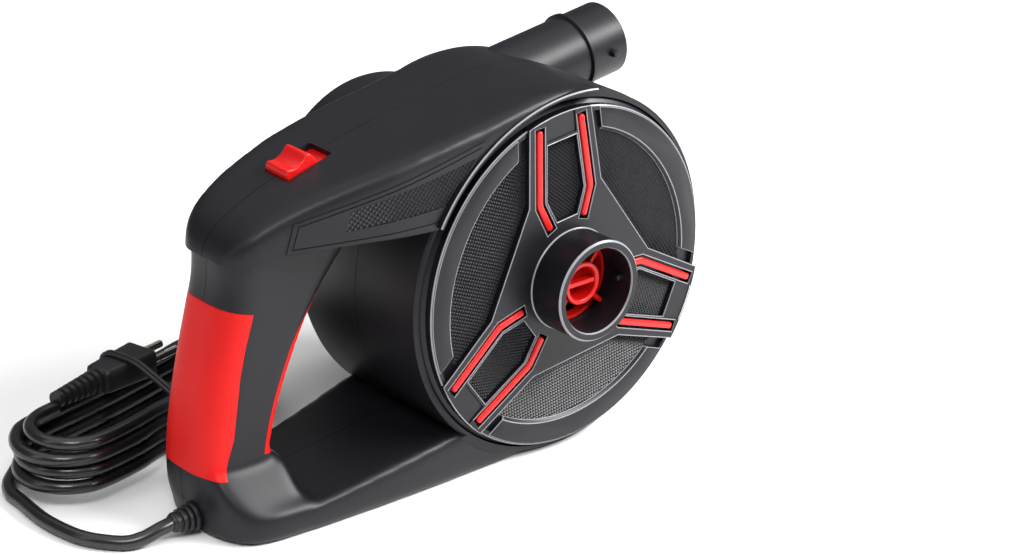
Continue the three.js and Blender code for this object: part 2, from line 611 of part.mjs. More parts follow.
place('bearing_rear', tubeY(bearingRadius, shaftRadius + gap, rearPlateNear - bearingLength, rearPlateNear - gap,
  0, 0, 20), steel);
[-1, 1].forEach((side, i) => {
  const span = (from, to) => [side * from, side * to].sort((a, b) => a - b);
  place(`brush_${i + 1}`, box(-2.5, 2.5, brushMiddle - 3, brushMiddle + 3,
    ...span(commutatorRadius + gap, commutatorRadius + 13)), carbon);
  place(`brush_holder_${i + 1}`, box(-4.4, 4.4, brushMiddle - holderHalf, brushMiddle + holderHalf,
    ...span(commutatorRadius + 3, motorRadius + 1.5))
    .subtract(box(-2.8, 2.8, brushMiddle - 3.3, brushMiddle + 3.3, ...span(0, motorRadius - 1))), innerPlastic);
});

// ---- slide switch --------------------------------------------------------------------------------------------
const parked = -knobTravel / 2;
const plateTop = -wall - 0.6;
function knobSide() {
  const half = knobLength / 2;
  const path = new THREE.Path();
  path.moveTo(-half, -1.6);
  path.lineTo(-half, 2.2);
  path.splineThru([v2(-half + 2, 4.6), v2(-3, 3.4), v2(2.6, 4.6), v2(5, 6.4), v2(7, 5.2), v2(half, 1.6)]);
  path.lineTo(half, -1.6);
  return sampled(path, 2);
}
place('switch_slider', onSlope(join([
  prismY(knobSide(), -knobWidth / 2, knobWidth / 2),
  box(-knobLength / 2 + 1, knobLength / 2 - 1, -knobWidth / 2 + 1, knobWidth / 2 - 1, plateTop - 1, -1),
  box(-knobLength / 2 - knobTravel - 1, knobLength / 2 + knobTravel + 1, -knobWidth / 2 - 2, knobWidth / 2 + 2,
    plateTop - 1.6, plateTop),
  box(-2.5, 2.5, -2, 2, switchTop + gap, plateTop - 1),
]), parked), redAbs);
place('switch_body', onSlope(box(-switchHalf.x, switchHalf.x, -switchHalf.y, switchHalf.y, switchBottom, switchTop)),
  innerPlastic);

// ---- inner leads ------------------------------------------------------------------------------------------
place('motor_wires', tube(wireRoute, 1.6, 6, 20), pvc);
const innerRoute = [v3(glandX + 13 + gap, glandY, glandZ), v3(-176.5, glandY, glandZ), v3(-172.5, glandY, glandZ),
  v3(-166.5, -9, -81),
  v3(-166.8, -9, -74), v3(-171.5, -9.5, -62), v3(-172.5, -10, -48), v3(-168.5, -10, -30), v3(-164, -10, -14),
  v3(-158, -9.5, 2), v3(-150, -9, 20), v3(-140, -6, 34), v3(-131.5, -2, 44), v3(-128.5, -1, 49.2)];
place('inner_lead', tube(innerRoute, cordRadius, 8, 30), pvc);
const clampTop = clampUnder + clampHeight;
place('cord_clamp', box(clampX - clampHalf.x, clampX + clampHalf.x, glandY - clampHalf.y, glandY + clampHalf.y,
  clampUnder, clampTop).subtract(rodZ(screwRadius * 0.8 + gap, clampUnder - 1, clampTop + 1, clampX, clampScrewY)),
innerPlastic);
place('clamp_screw', rodZ(screwRadius * 0.8, baseBottom + wall + gap, clampTop + 1, clampX, clampScrewY, 8)
  .add(rodZ(screwRadius * 1.4, clampTop + gap, clampTop + 2, clampX, clampScrewY, 10)), steel);

// ---- power cord ---------------------------------------------------------------------------------------------
const floorZ = baseBottom;
const tieThickness = 1.4;
const hankLift = tieThickness + gap;
const hankHeight = hankTurns * 2 * cordRadius;
const hankOuter = hankTurnRadius + cordRadius;
const hankAngle = THREE.MathUtils.degToRad(14);
const hankStart = v3(-216, 66.5, floorZ);
const leadEnd = glandX - 15;

place('strain_relief', join([
  rodX(glandRadius, glandX - 3, glandX + 13, glandY, glandZ),
  rodX(glandRadius + 1.4, glandX - 6.4, glandX - 2.9, glandY, glandZ),
  solidOf(new THREE.CylinderGeometry(glandRadius - 0.9, glandRadius + 0.9, 9, rodSides)
    .rotateZ(Math.PI / 2).translate(glandX - 10.5, glandY, glandZ)),
]), pvc);

const leadFloor = floorZ + cordRadius + gap;
const beside = hankTurnRadius + 2 * cordRadius + 2 * gap; // the lead lies against the hank's round end
const besideHank = [195, 180, 165, 150].map((angle) => {
  const p = polar(beside, angle);
  return v3(hankStart.x + p.x, hankStart.y + p.y, leadFloor);
});
const leadRoute = [v3(leadEnd - gap, glandY, glandZ), v3(leadEnd - 4, glandY, glandZ),
  v3(leadEnd - 12, glandY + 0.2, glandZ - 3), v3(leadEnd - 21, glandY + 2.5, leadFloor), v3(-237, 1.5, leadFloor),
  v3(-246, 13, leadFloor), v3(-250, 32, leadFloor), ...besideHank];
place('cord_lead', tube(leadRoute, cordRadius, 8, 30), pvc);

const hank = new THREE.Group();
hank.position.copy(hankStart);
hank.rotation.z = hankAngle;
pump.add(hank);

function placeOnHank(name, solid, material) {
  const mesh = new THREE.Mesh(geometryOf(solid), material);
  mesh.name = name;
  hank.add(mesh);
}

function hankOutline() {
  const path = new THREE.Path();
  path.absarc(hankRun, 0, hankOuter, -Math.PI / 2, Math.PI / 2, false);
  path.absarc(0, 0, hankOuter, Math.PI / 2, Math.PI * 1.5, false);
  return sampled(path, 10);
}
placeOnHank('cord_hank', prismZ(hankOutline(), hankLift, hankLift + hankHeight), pvc);

const hankTop = hankLift + hankHeight + gap;
const plugSide = 17.5; // distance of the plug from the hank's middle line
const tailTurn = (hankTurnRadius + plugSide) / 2;
const tailMiddle = (plugSide - hankTurnRadius) / 2;
const reliefStart = 9;
const plugStart = 38;
const plugLength = 34;
const plugWidth = 20;
const plugHeight = 15;
const tailZ = hankTop + cordRadius;
const tailRoute = [v3(22, -hankTurnRadius, tailZ), v3(10, -hankTurnRadius, tailZ),
  ...[-90, -130, -180, -230, -270].map((angle) => {
    const p = polar(tailTurn, angle);
    return v3(p.x, p.y + tailMiddle, tailZ);
  }), v3(reliefStart - gap, plugSide, tailZ)];
placeOnHank('cord_tail', tube(tailRoute, cordRadius, 8, 14), pvc);

const plugZ = hankTop + plugHeight / 2;
const reliefBody = solidOf(new THREE.CylinderGeometry(6.4, 4.6, plugStart - reliefStart, rodSides)
  .rotateZ(-Math.PI / 2).translate((plugStart + reliefStart) / 2, plugSide, plugZ));
placeOnHank('plug', join([
  reliefBody,
  box(plugStart - 0.5, plugStart + plugLength, plugSide - plugWidth / 2, plugSide + plugWidth / 2,
    hankTop, hankTop + plugHeight),
]).subtract(join([-1, 1].map((side) =>
  rodX(2.3, plugStart + plugLength - 8, plugStart + plugLength + 1, plugSide + side * 5.5, plugZ, 10)))), pvc);
[-1, 1].forEach((side, i) => placeOnHank(`plug_pin_${i + 1}`,
  rodX(2, plugStart + plugLength - 7.6, plugStart + plugLength + 18, plugSide + side * 5.5, plugZ, 10), steel));

// The tie goes round the folded cord and the plug's body.
const tieLoop = (grow) => {
  const low = hankLift - gap - grow;
  const side = hankOuter + gap + grow;
  const top = hankTop + plugHeight + gap + grow;
  const shoulder = hankLift + hankHeight + gap + grow;
  const step = plugSide - plugWidth / 2 - gap - grow;
  return [v2(-side, low), v2(side + 0.5, low), v2(side + 0.5, top), v2(step, top), v2(-side, shoulder)];
};
placeOnHank('cord_tie', prismX(tieLoop(tieThickness), 50, 55, [tieLoop(0)]), pvc);

// ---- the origin: middle of the pump's footprint, on the surface it stands on -----------------------------------
const rearmost = Math.min(...handleSide().map((p) => p.x));
pump.position.set(-(rearmost + drumRadius) / 2, -(hubFront + motorCoverEnd) / 2, -baseBottom);
const model = new THREE.Group();
model.add(pump);

export default model;
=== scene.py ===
"""Electric air mattress pump: mains blower with a closed handle and its folded power cord."""

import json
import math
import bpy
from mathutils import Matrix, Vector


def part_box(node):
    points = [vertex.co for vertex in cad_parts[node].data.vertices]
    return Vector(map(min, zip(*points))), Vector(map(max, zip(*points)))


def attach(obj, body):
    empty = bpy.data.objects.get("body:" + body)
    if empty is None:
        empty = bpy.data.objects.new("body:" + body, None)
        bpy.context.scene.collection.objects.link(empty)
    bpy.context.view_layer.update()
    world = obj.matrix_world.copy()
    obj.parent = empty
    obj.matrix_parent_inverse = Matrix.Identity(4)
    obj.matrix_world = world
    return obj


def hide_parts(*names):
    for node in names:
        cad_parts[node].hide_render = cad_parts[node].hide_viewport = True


bl_info = {
    "name": "Air mattress pump",
    "version": (1, 0, 0),
    "blender": (4, 5, 0),
    "location": "View3D > Sidebar > Pump",
    "description": "Builds the visible pieces of a mains air pump around its CAD frame",
    "category": "Add Mesh",
}

import bmesh
import bpy
from bpy.props import FloatProperty, FloatVectorProperty, PointerProperty
from mathutils import Matrix, Vector
from mathutils.bvhtree import BVHTree

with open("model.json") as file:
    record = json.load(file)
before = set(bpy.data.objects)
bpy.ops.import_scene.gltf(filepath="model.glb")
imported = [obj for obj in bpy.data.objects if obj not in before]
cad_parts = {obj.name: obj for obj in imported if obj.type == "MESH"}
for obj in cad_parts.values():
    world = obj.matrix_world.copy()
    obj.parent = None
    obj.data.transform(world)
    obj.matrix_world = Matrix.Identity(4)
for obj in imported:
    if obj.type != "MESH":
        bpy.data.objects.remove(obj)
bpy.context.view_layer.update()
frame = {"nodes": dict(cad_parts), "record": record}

# Sizes below are in millimetres about the drum's axis (x, z) and the housing's seam (y = 0).
MM = 0.001
_DRUM_LO, _DRUM_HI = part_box("impeller")
ORIGIN = Vector((
    (_DRUM_LO.x + _DRUM_HI.x) / 2,
    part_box("housing_near")[1].y + 0.15 * MM,
    (_DRUM_LO.z + _DRUM_HI.z) / 2,
))
DRUM_RADIUS = 93.5
DRUM_NEAR = -46.2
DRUM_FAR = 49.0
COVER_FRONT = -51.5
COVER_RADIUS = 88.0
HUB_FRONT = -73.5
HUB_RADIUS = 26.0
HUB_BORE = 21.8
RECESS_RADIUS = 95.4
BASE_BOTTOM = -93.5
SPOKE_ANGLES = (97, -23, -143)
OUTLET_START = Vector((10, 20.5, 77.6))
OUTLET_SLOPE = math.atan(0.166)
SWITCH_SLOPE = math.atan2(76 - 69.2, 21)
SWITCH_CENTRE = Vector((-126.5, 0, 73.8))
SEAM = 0.15
CORD_EXIT = (-193, -9, -85)
SCREW_WELLS = ((-158, 33), (-181, -30), (-140, -85.5), (-78, -80), (-92, 62))
OUTLET_RADIUS = 19.2
OUTLET_LENGTH = 75.5
COLLAR = 50.0
MOTOR_COVER_RADIUS = 64.0
MOTOR_COVER_END = 115.0
MOTOR_COVER_SCREWS = (45, 135, 225, 315)
CHANNEL = (3.3, 1.6)
WINDOW = [(75, -9.6), (75, 9.6), (46, 12.2), (33, 6.8), (33, -6.8), (46, -12.2)]


# ---- making meshes ---------------------------------------------------------------------------
def at(x, y, z):
    """A point in millimetres about the drum's axis and the seam, as a place in the scene."""
    return ORIGIN + Vector((x, y, z)) * MM


def polar(radius, degrees):
    """The (x, z) at a radius and an angle from the drum's axis."""
    angle = math.radians(degrees)
    return (radius * math.cos(angle), radius * math.sin(angle))


def curved(points, steps=6):
    """A smooth line through all the points (Catmull-Rom)."""
    pts = [Vector(p) for p in points]
    ext = [pts[0] * 2 - pts[1], *pts, pts[-1] * 2 - pts[-2]]
    line = []
    for i in range(1, len(ext) - 2):
        a, b, c, d = ext[i - 1:i + 3]
        for k in range(steps):
            t = k / steps
            line.append(0.5 * (2 * b + (c - a) * t + (2 * a - 5 * b + 4 * c - d) * t * t
                               + (3 * b - a - 3 * c + d) * t ** 3))
    return [*line, pts[-1]]


def as_object(name, bm, smooth=35):
    """A bmesh as an object in the scene; the bmesh is freed."""
    mesh = bpy.data.meshes.new(name)
    bm.to_mesh(mesh)
    bm.free()
    obj = bpy.data.objects.new(name, mesh)
    bpy.context.scene.collection.objects.link(obj)
    return shaded(obj, smooth)


def shaded(obj, smooth=35):
    """The object shaded smooth, with edges sharper than the angle left crisp."""
    for polygon in obj.data.polygons:
        polygon.use_smooth = True
    obj.data.set_sharp_from_angle(angle=math.radians(smooth))
    return obj


def outward(bm):
    """The shape with its doubles merged and its faces turned outwards."""
    bmesh.ops.remove_doubles(bm, verts=bm.verts, dist=1e-6)
    bmesh.ops.recalc_face_normals(bm, faces=bm.faces)
    return bm


def prism(loop, low, high, axis="Y"):
    """A flat outline pushed along an axis: (x, z) along Y, (x, y) along Z or (y, z) along X."""
    spot = {
        "Y": lambda p: at(p[0], low, p[1]),
        "Z": lambda p: at(p[0], p[1], low),
        "X": lambda p: at(low, p[0], p[1]),
    }[axis]
    way = {"X": Vector((1, 0, 0)), "Y": Vector((0, 1, 0)), "Z": Vector((0, 0, 1))}[axis]
    bm = bmesh.new()
    face = bm.faces.new([bm.verts.new(spot(p)) for p in loop])
    pushed = bmesh.ops.extrude_face_region(bm, geom=[face])
    verts = [g for g in pushed["geom"] if isinstance(g, bmesh.types.BMVert)]
    bmesh.ops.translate(bm, verts=verts, vec=way * (high - low) * MM)
    return outward(bm)


def lathe(profile, centre=(0, 0), steps=128, degrees=360.0, start=0.0):
    """A (radius, y) outline spun about the Y axis through (x, z)."""
    bm = bmesh.new()
    turn = Matrix.Rotation(math.radians(-start), 3, "Y")
    middle = at(centre[0], 0, centre[1])
    verts = [bm.verts.new(middle + turn @ (Vector((r, y, 0)) * MM)) for r, y in profile]
    closed = profile[0][0] > 0 or profile[-1][0] > 0
    edges = [bm.edges.new(pair) for pair in zip(verts, verts[1:])]
    if closed:
        edges.append(bm.edges.new((verts[-1], verts[0])))
    whole = degrees >= 360
    geom = [*verts, *edges]
    if not whole:
        geom.append(bm.faces.new(verts))
    bmesh.ops.spin(bm, geom=geom, cent=middle, axis=(0, -1, 0), angle=math.radians(degrees),
                   steps=steps, use_merge=whole, use_duplicate=False)
    return outward(bm)


def block(size, centre):
    """A box of the given size about a point."""
    bm = bmesh.new()
    bmesh.ops.create_cube(bm, size=1.0)
    bmesh.ops.scale(bm, verts=bm.verts, vec=Vector(size) * MM)
    bmesh.ops.translate(bm, verts=bm.verts, vec=at(*centre))
    return bm


def gather(whole, bm):
    """Adds one shape's faces to another and frees it."""
    part = bpy.data.meshes.new("part")
    bm.to_mesh(part)
    bm.free()
    whole.from_mesh(part)
    bpy.data.meshes.remove(part)


def bevelled(bm, width, angle=30, segments=2, material=-1):
    """The shape with its edges sharper than the angle bevelled."""
    sharp = [e for e in bm.edges if len(e.link_faces) == 2
             and e.calc_face_angle(0) > math.radians(angle)]
    bmesh.ops.bevel(bm, geom=sharp, offset=width * MM, affect="EDGES", segments=segments,
                    profile=0.5, material=material, clamp_overlap=True)
    return bm


def applied(obj):
    """The object with its modifiers' result as its own mesh."""
    shape = obj.evaluated_get(bpy.context.evaluated_depsgraph_get())
    mesh = bpy.data.meshes.new_from_object(shape)
    obj.modifiers.clear()
    old = obj.data
    obj.data = mesh
    bpy.data.meshes.remove(old)
    return obj


def combine(obj, others, how="DIFFERENCE"):
    """Cuts, joins or trims an object with others, one after another."""
    for other in others if isinstance(others, (list, tuple)) else [others]:
        tool = as_object("tool", other) if isinstance(other, bmesh.types.BMesh) else other
        modifier = obj.modifiers.new("cut", "BOOLEAN")
        modifier.operation = how
        modifier.solver = "MANIFOLD"
        modifier.object = tool
        bpy.context.view_layer.update()
        applied(obj)
        bpy.data.objects.remove(tool)
    return obj


def broken(obj):
    """The object with its sharp edges rounded off a little, so that a new skin follows them evenly."""
    bevel = obj.modifiers.new("break_edges", "BEVEL")
    bevel.width = 3.2 * MM
    bevel.segments = 3
    bevel.limit_method = "ANGLE"
    bevel.angle_limit = math.radians(42)
    bevel.use_clamp_overlap = False
    return applied(obj)


def resurfaced(obj, voxel, rounds):
    """An even skin over the shape, with its edges and corners rounded by repeated smoothing."""
    remesh = obj.modifiers.new("skin", "REMESH")
    remesh.mode = "VOXEL"
    remesh.voxel_size = voxel * MM
    soften = obj.modifiers.new("soften", "SMOOTH")
    soften.factor = 0.5
    soften.iterations = rounds
    return applied(obj)


def joined_mesh(first, second):
    """Both objects' faces as one object, for a skin that goes round both."""
    bm = bmesh.new()
    bm.from_mesh(first.data)
    bm.from_mesh(second.data)
    for obj in (first, second):
        bpy.data.objects.remove(obj)
    return as_object("joined", bm)


def copy_of(obj, name):
    """A twin of the object with a mesh of its own."""
    twin = bpy.data.objects.new(name, obj.data.copy())
    bpy.context.scene.collection.objects.link(twin)
    return twin


def swollen(obj, by):
    """Moves every point along its normal."""
    for vertex in obj.data.vertices:
        vertex.co += vertex.normal * by * MM
    return obj


def mark_highlight_bands(obj, bands):
    """Gives faces of a turned piece within (radius low, high, y low, high) its second material, a painted
    edge highlight where it is used.
    """
    for polygon in obj.data.polygons:
        p = (polygon.center - ORIGIN) / MM
        radius = math.hypot(p.x, p.z)
        if any(r0 < radius < r1 and y0 < p.y < y1 for r0, r1, y0, y1 in bands):
            polygon.material_index = 1
    return obj


def settle(obj, name, body, materials, nodes=()):
    """Names a piece, gives it its materials and its body, and hides the CAD nodes it stands for."""
    obj.name = name
    marks = [polygon.material_index for polygon in obj.data.polygons]
    obj.data.materials.clear()
    for material in materials:
        obj.data.materials.append(finish(material))
    for polygon, mark in zip(obj.data.polygons, marks):
        polygon.material_index = min(mark, len(materials) - 1)
    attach(obj, body)
    if nodes:
        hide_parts(*nodes)
    return obj


def tube_mesh(points, radius, sides=12, ends=True):
    """A round tube along points in metres, closed at both ends."""
    bm = bmesh.new()
    rings = []
    up = Vector((0, 0, 1))
    for i, p in enumerate(points):
        ahead = points[min(i + 1, len(points) - 1)] - points[max(i - 1, 0)]
        ahead.normalize()
        side = ahead.cross(up)
        if side.length < 1e-3:
            side = ahead.cross(Vector((0, 1, 0)))
        side.normalize()
        top = side.cross(ahead).normalized()
        up = top
        r = radius(i / (len(points) - 1)) if callable(radius) else radius
        rings.append([bm.verts.new(p + (side * math.cos(a) + top * math.sin(a)) * r * MM)
                      for a in (math.tau * k / sides for k in range(sides))])
    loops = [[bm.edges.new((ring[k], ring[(k + 1) % sides])) for k in range(sides)] for ring in rings]
    for a, b in zip(loops, loops[1:]):
        bmesh.ops.bridge_loops(bm, edges=[*a, *b])
    if ends:
        bm.faces.new(rings[0])
        bm.faces.new(rings[-1])
    bmesh.ops.recalc_face_normals(bm, faces=bm.faces)
    return bm


# ---- finishes ----------------------------------------------------------------------------------
def linear(code):
    """sRGB hex to linear colour."""
    parts = [int(code[i:i + 2], 16) / 255 for i in (1, 3, 5)]
    return [*(c / 12.92 if c <= 0.04045 else ((c + 0.055) / 1.055) ** 2.4 for c in parts), 1.0]


def add(tree, kind, links=None, **settings):
    """Adds a node: settings named after sockets or properties, links as {socket: output}."""
    node = tree.nodes.new(kind)
    for key, value in settings.items():
        if hasattr(node, key):
            setattr(node, key, value)
            continue
        label = key.replace("_", " ")
        socket = next(s for s in node.inputs if s.enabled and s.name.lower() == label)
        socket.default_value = value
    for key, value in (links or {}).items():
        tree.links.new(value, node.inputs[key])
    return node


# name: colour, second tone, roughness, metallic, IOR, grain in mm, grain height in mm, blotch in mm
FINISHES = {
    # ABS moulded in a spark-eroded tool: deep black, fine even grain, broad soft highlights
    "spark_eroded_abs": ("#0f0f13", "#141419", 0.42, 0.0, 1.54, 0.55, 0.035, 35.0),
    # ABS moulded in a smoother tool: a little darker and tighter highlights
    "satin_abs": ("#0d0d11", "#121216", 0.37, 0.0, 1.54, 0.45, 0.02, 30.0),
    # painted highlight: light grey on the relief's arrises, standing in for the light they catch
    "edge_highlight_paint": ("#77777d", "#8a8a91", 0.28, 0.0, 1.54, 0.5, 0.01, 12.0),
    # knurled fields: matt, dark in the valleys
    "knurled_abs": ("#121215", "#19191d", 0.36, 0.0, 1.54, 0.4, 0.015, 10.0),
    # red ABS with a satin gloss
    "red_abs": ("#cb100d", "#ba0d0b", 0.34, 0.0, 1.54, 0.6, 0.015, 14.0),
    # red thermoplastic rubber: softer, slightly dusty surface
    "red_rubber": ("#c8120f", "#b80f0c", 0.48, 0.0, 1.5, 0.5, 0.03, 25.0),
    # plasticised PVC of cords: glossy, slightly uneven
    "cord_pvc": ("#0f0f11", "#17171a", 0.27, 0.0, 1.53, 2.2, 0.05, 18.0),
    # moulded PVC of plug and strain relief
    "moulded_pvc": ("#131315", "#1b1b1e", 0.42, 0.0, 1.53, 0.6, 0.03, 12.0),
    # glass-filled nylon inside the housing
    "glass_nylon": ("#2b2b2f", "#35353a", 0.6, 0.0, 1.53, 0.8, 0.03, 9.0),
    # zinc-plated steel of screws, shaft and brackets
    "zinc_steel": ("#b9bcc0", "#a3a6aa", 0.32, 1.0, 1.5, 0.4, 0.008, 5.0),
    # stacked electrical steel
    "laminated_steel": ("#6c6d70", "#55565a", 0.45, 1.0, 1.5, 0.5, 0.02, 4.0),
    # enamelled copper wire
    "enamelled_copper": ("#b5612c", "#9a4d20", 0.35, 1.0, 1.5, 0.6, 0.04, 3.0),
    # pressed carbon of the brushes
    "carbon": ("#2a2a2c", "#1d1d1f", 0.62, 0.0, 1.6, 0.5, 0.02, 4.0),
    # nickel-plated brass of the plug's pins
    "nickel_brass": ("#cfcabd", "#bfb9a8", 0.22, 1.0, 1.5, 0.6, 0.004, 6.0),
}
# a mould's fine texture scatters part of the plastics' mirror reflection
SHEEN = {"red_abs": 0.3, "red_rubber": 0.2, "cord_pvc": 0.5, "moulded_pvc": 0.35}
SLOT_FINISH = {
    "black_abs": "spark_eroded_abs", "cover_abs": "satin_abs", "red_abs": "red_abs",
    "red_rubber": "red_rubber", "inner_plastic": "glass_nylon", "black_pvc": "cord_pvc",
    "steel": "zinc_steel", "laminated_steel": "laminated_steel", "copper": "enamelled_copper",
    "carbon": "carbon", "plated_brass": "nickel_brass",
}


# each finish is made once and shared
MADE = {}


def finish(name):
    """The named finish: two close tones in soft blotches, and a moulded grain as bump."""
    if name in MADE:
        return MADE[name]
    tone, other, rough, metal, ior, grain, height, blotch = FINISHES[name]
    material = MADE[name] = bpy.data.materials.new(f"{name}_finish")
    material.use_nodes = True
    material.diffuse_color = linear(tone)
    tree = material.node_tree
    shader = tree.nodes["Principled BSDF"]
    place = add(tree, "ShaderNodeTexCoord").outputs["Object"]
    cloud = add(tree, "ShaderNodeTexNoise", {"Vector": place}, scale=1 / (blotch * MM), detail=3.0)
    mix = add(tree, "ShaderNodeMix", {"Factor": cloud.outputs["Fac"]}, data_type="RGBA")
    mix.inputs["A"].default_value = linear(tone)
    mix.inputs["B"].default_value = linear(other)
    fine = add(tree, "ShaderNodeTexNoise", {"Vector": place}, scale=1 / (grain * MM), detail=2.0)
    rubbed = add(tree, "ShaderNodeMapRange", {"Value": cloud.outputs["Fac"]},
                 to_min=rough - 0.05, to_max=rough + 0.07)
    bump = add(tree, "ShaderNodeBump", {"Height": fine.outputs["Fac"]}, strength=0.6,
               distance=height * MM)
    tree.links.new(mix.outputs["Result"], shader.inputs["Base Color"])
    tree.links.new(rubbed.outputs["Result"], shader.inputs["Roughness"])
    tree.links.new(bump.outputs["Normal"], shader.inputs["Normal"])
    shader.inputs["Metallic"].default_value = metal
    shader.inputs["IOR"].default_value = ior
    shader.inputs["Specular IOR Level"].default_value = SHEEN.get(name, 0.5 if metal else 0.24)
    return material


# ---- outlines --------------------------------------------------------------------------------
FINGER_LINE = [(-160, -65), (-157, -48), (-152.6, -32), (-146, -15), (-137.5, 3.5), (-128, 18.5)]


def hood_side():
    """The hood from the side, from the drum's crown to the rear end."""
    top = curved([polar(DRUM_RADIUS - 0.5, 55), (37, 86.5), (22, 92.9), (2, 98), (-21, 98), (-66, 89),
                  (-92, 83.6), (-120, 76), (-141, 69.2), (-155, 63.6), (-169, 56.5), (-178, 49.5),
                  (-182, 41)], 6)
    return [(30, 15), *top, (-182.5, 15)]


def hood_lower():
    """Everything above the hood's lower edge."""
    edge = curved([(-200, 40.2), (-186, 40), (-171, 40.6), (-156, 43), (-129, 45.5), (-84, 45.5)], 6)
    return [*edge, (-60, 45.5), (-60, 20), (40, 20), (60, 120), (-200, 120)]


def hood_plan():
    """The hood from above."""
    return [(70, -54), *curved([(-37, -54), (-70, -52.5), (-104, -48.5), (-131, -40.5), (-158, -31),
                                (-174, -25), (-181.5, -14), (-183, 0), (-181.5, 13), (-173, 23.5),
                                (-155, 30.5), (-120, 36)], 6), (70, 36)]


def handle_side():
    """The handle and the base's rear from the side, round the hand opening."""
    rear = curved([(-179.5, 48), (-179.5, 28), (-184, 8), (-190, -17), (-194, -38), (-196, -55),
                   (-196.5, -72), (-193.5, -85), (-186, BASE_BOTTOM)], 5)
    front = curved([(-140, -77.4), (-150, -77.5), (-156.5, -73.5), *FINGER_LINE, (-116, 33),
                    (-105, 44)], 5)
    return [(-168, 53), *rear, (0, BASE_BOTTOM), (0, -70), (-55, -66), *front, (-98, 53)]


def base_side():
    """The base from the side."""
    return [(-200, BASE_BOTTOM), (0, BASE_BOTTOM), (0, -70), (-55, -66), (-140, -77.4), (-150, -78.5),
            (-200, -80)]


def base_plan():
    """The base from above."""
    return curved([(0, -45), (-30, -46), (-90, -47.5), (-148, -46), (-176, -43.5), (-188, -37),
                   (-194, -24), (-195.5, -8), (-194, 8), (-188, 19), (-172, 26), (-148, 28.5),
                   (-122, 31.5), (-95, 37), (-68, 43), (-35, 46), (0, 46.5)], 5)


def along_outlet(profile, steps=96):
    """A (radius, length) outline turned about the outlet's axis."""
    bm = lathe(profile, steps=steps)
    turn = (Matrix.Translation(at(*OUTLET_START)) @ Matrix.Rotation(-OUTLET_SLOPE, 4, "Y")
            @ Matrix.Rotation(-math.pi / 2, 4, "Z") @ Matrix.Translation(-at(0, 0, 0)))
    bmesh.ops.transform(bm, matrix=turn, verts=bm.verts)
    return bm


def along_cord_exit(bm):
    """Moves a shape turned about the drum's axis to the cord's exit, its front to the rear."""
    turn = (Matrix.Translation(at(*CORD_EXIT)) @ Matrix.Rotation(-math.pi / 2, 4, "Z")
            @ Matrix.Translation(-at(0, 0, 0)))
    bmesh.ops.transform(bm, matrix=turn, verts=bm.verts)
    return bm


def on_slope(bm, along=0.0):
    """Moves a shape drawn about the drum's axis to the switch's place on the hood."""
    turn = (Matrix.Translation(at(*SWITCH_CENTRE)) @ Matrix.Rotation(-SWITCH_SLOPE, 4, "Y")
            @ Matrix.Translation(Vector((along * MM, 0, 0)) - at(0, 0, 0)))
    bmesh.ops.transform(bm, matrix=turn, verts=bm.verts)
    return bm


def spoked(bm, degrees):
    """Turns a shape drawn on the first axis to a spoke's angle."""
    middle = at(0, 0, 0)
    bmesh.ops.rotate(bm, verts=bm.verts, cent=middle,
                     matrix=Matrix.Rotation(math.radians(-degrees), 3, "Y"))
    return bm


def rounded(loop, radius, steps=4):
    """A polygon with its corners rounded."""
    out = []
    count = len(loop)
    for i, p in enumerate(loop):
        p = Vector(p)
        a, b = Vector(loop[i - 1]) - p, Vector(loop[(i + 1) % count]) - p
        r = min(radius, a.length * 0.45, b.length * 0.45)
        first, last = p + a.normalized() * r, p + b.normalized() * r
        out += [(1 - t) ** 2 * first + 2 * t * (1 - t) * p + t * t * last
                for t in (k / steps for k in range(steps + 1))]
    return out


REAR_GRIP = [(-215, 18), (-190, 18.4), (-181, 17.6), (-174, 16.0), (-168.6, 14.8), (-173.2, 0),
             (-176.8, -15.5), (-181, -45), (-187.3, -63.4), (-200, -62.6), (-215, -62.6)]


def finger_grip_loop(thick=4.9):
    """The finger inlay: a sliver along the hand opening's edge, pointed at both ends."""
    line = [p for p in curved(FINGER_LINE, 5) if p.y > -61]
    inner = [Vector((p.x - thick * min(1.0, 0.2 + (18 - p.y) / 30), p.y + 0.6)) for p in line]
    outer = [Vector((p.x + 0.3 + max(0, 0.3 * (p.y + 52)), p.y - 0.3)) for p in line]
    return [*outer, *reversed(inner)]


# ---- sizes and colours that a user may change ----------------------------------------------
class PumpCordSettings(bpy.types.PropertyGroup):
    diameter: FloatProperty(name="Cord diameter", description="Outside of the power cord",
                            default=0.007, min=0.004, max=0.01, unit="LENGTH")
    length: FloatProperty(name="Cord length", description="From the strain relief to the plug",
                          default=1.6, min=1.0, max=3.0, unit="LENGTH")


class PumpReliefSettings(bpy.types.PropertyGroup):
    panel_depth: FloatProperty(name="Panel depth", description="Depth of the cover's knurled fields",
                               default=0.0022, min=0.0005, max=0.003, unit="LENGTH")
    spoke_height: FloatProperty(name="Spoke height", description="How far the spokes stand out",
                                default=0.0014, min=0.0, max=0.003, unit="LENGTH")
    knurl_pitch: FloatProperty(name="Knurl pitch", description="Distance between knurl points",
                               default=0.0017, min=0.001, max=0.004, unit="LENGTH")
    # the edge width is that of the painted highlight lines and bevels on the cover's relief
    edge: FloatProperty(name="Edge width", description="Width of the rubbed edges",
                        default=0.0003, min=0.0001, max=0.001, unit="LENGTH")


class PumpStageSettings(bpy.types.PropertyGroup):
    floor: FloatVectorProperty(name="Floor colour", description="Colour of the studio floor",
                               default=linear("#f4f4f4")[:3], subtype="COLOR", size=3)
    exposure: FloatProperty(name="Light level", description="Strength of all studio lights",
                            default=1.0, min=0.1, max=4.0)


# ---- stage -----------------------------------------------------------------------------------
CAMERA_TURN = (41.25, 22.81, 1.36)
CAMERA_AIM = (-44.12, COVER_FRONT, 10.8)
CAMERA_DISTANCE = 1200.26
CAMERA_LENS = 87.890625
CAMERA_SHIFT = (0.009785, 0.001631)


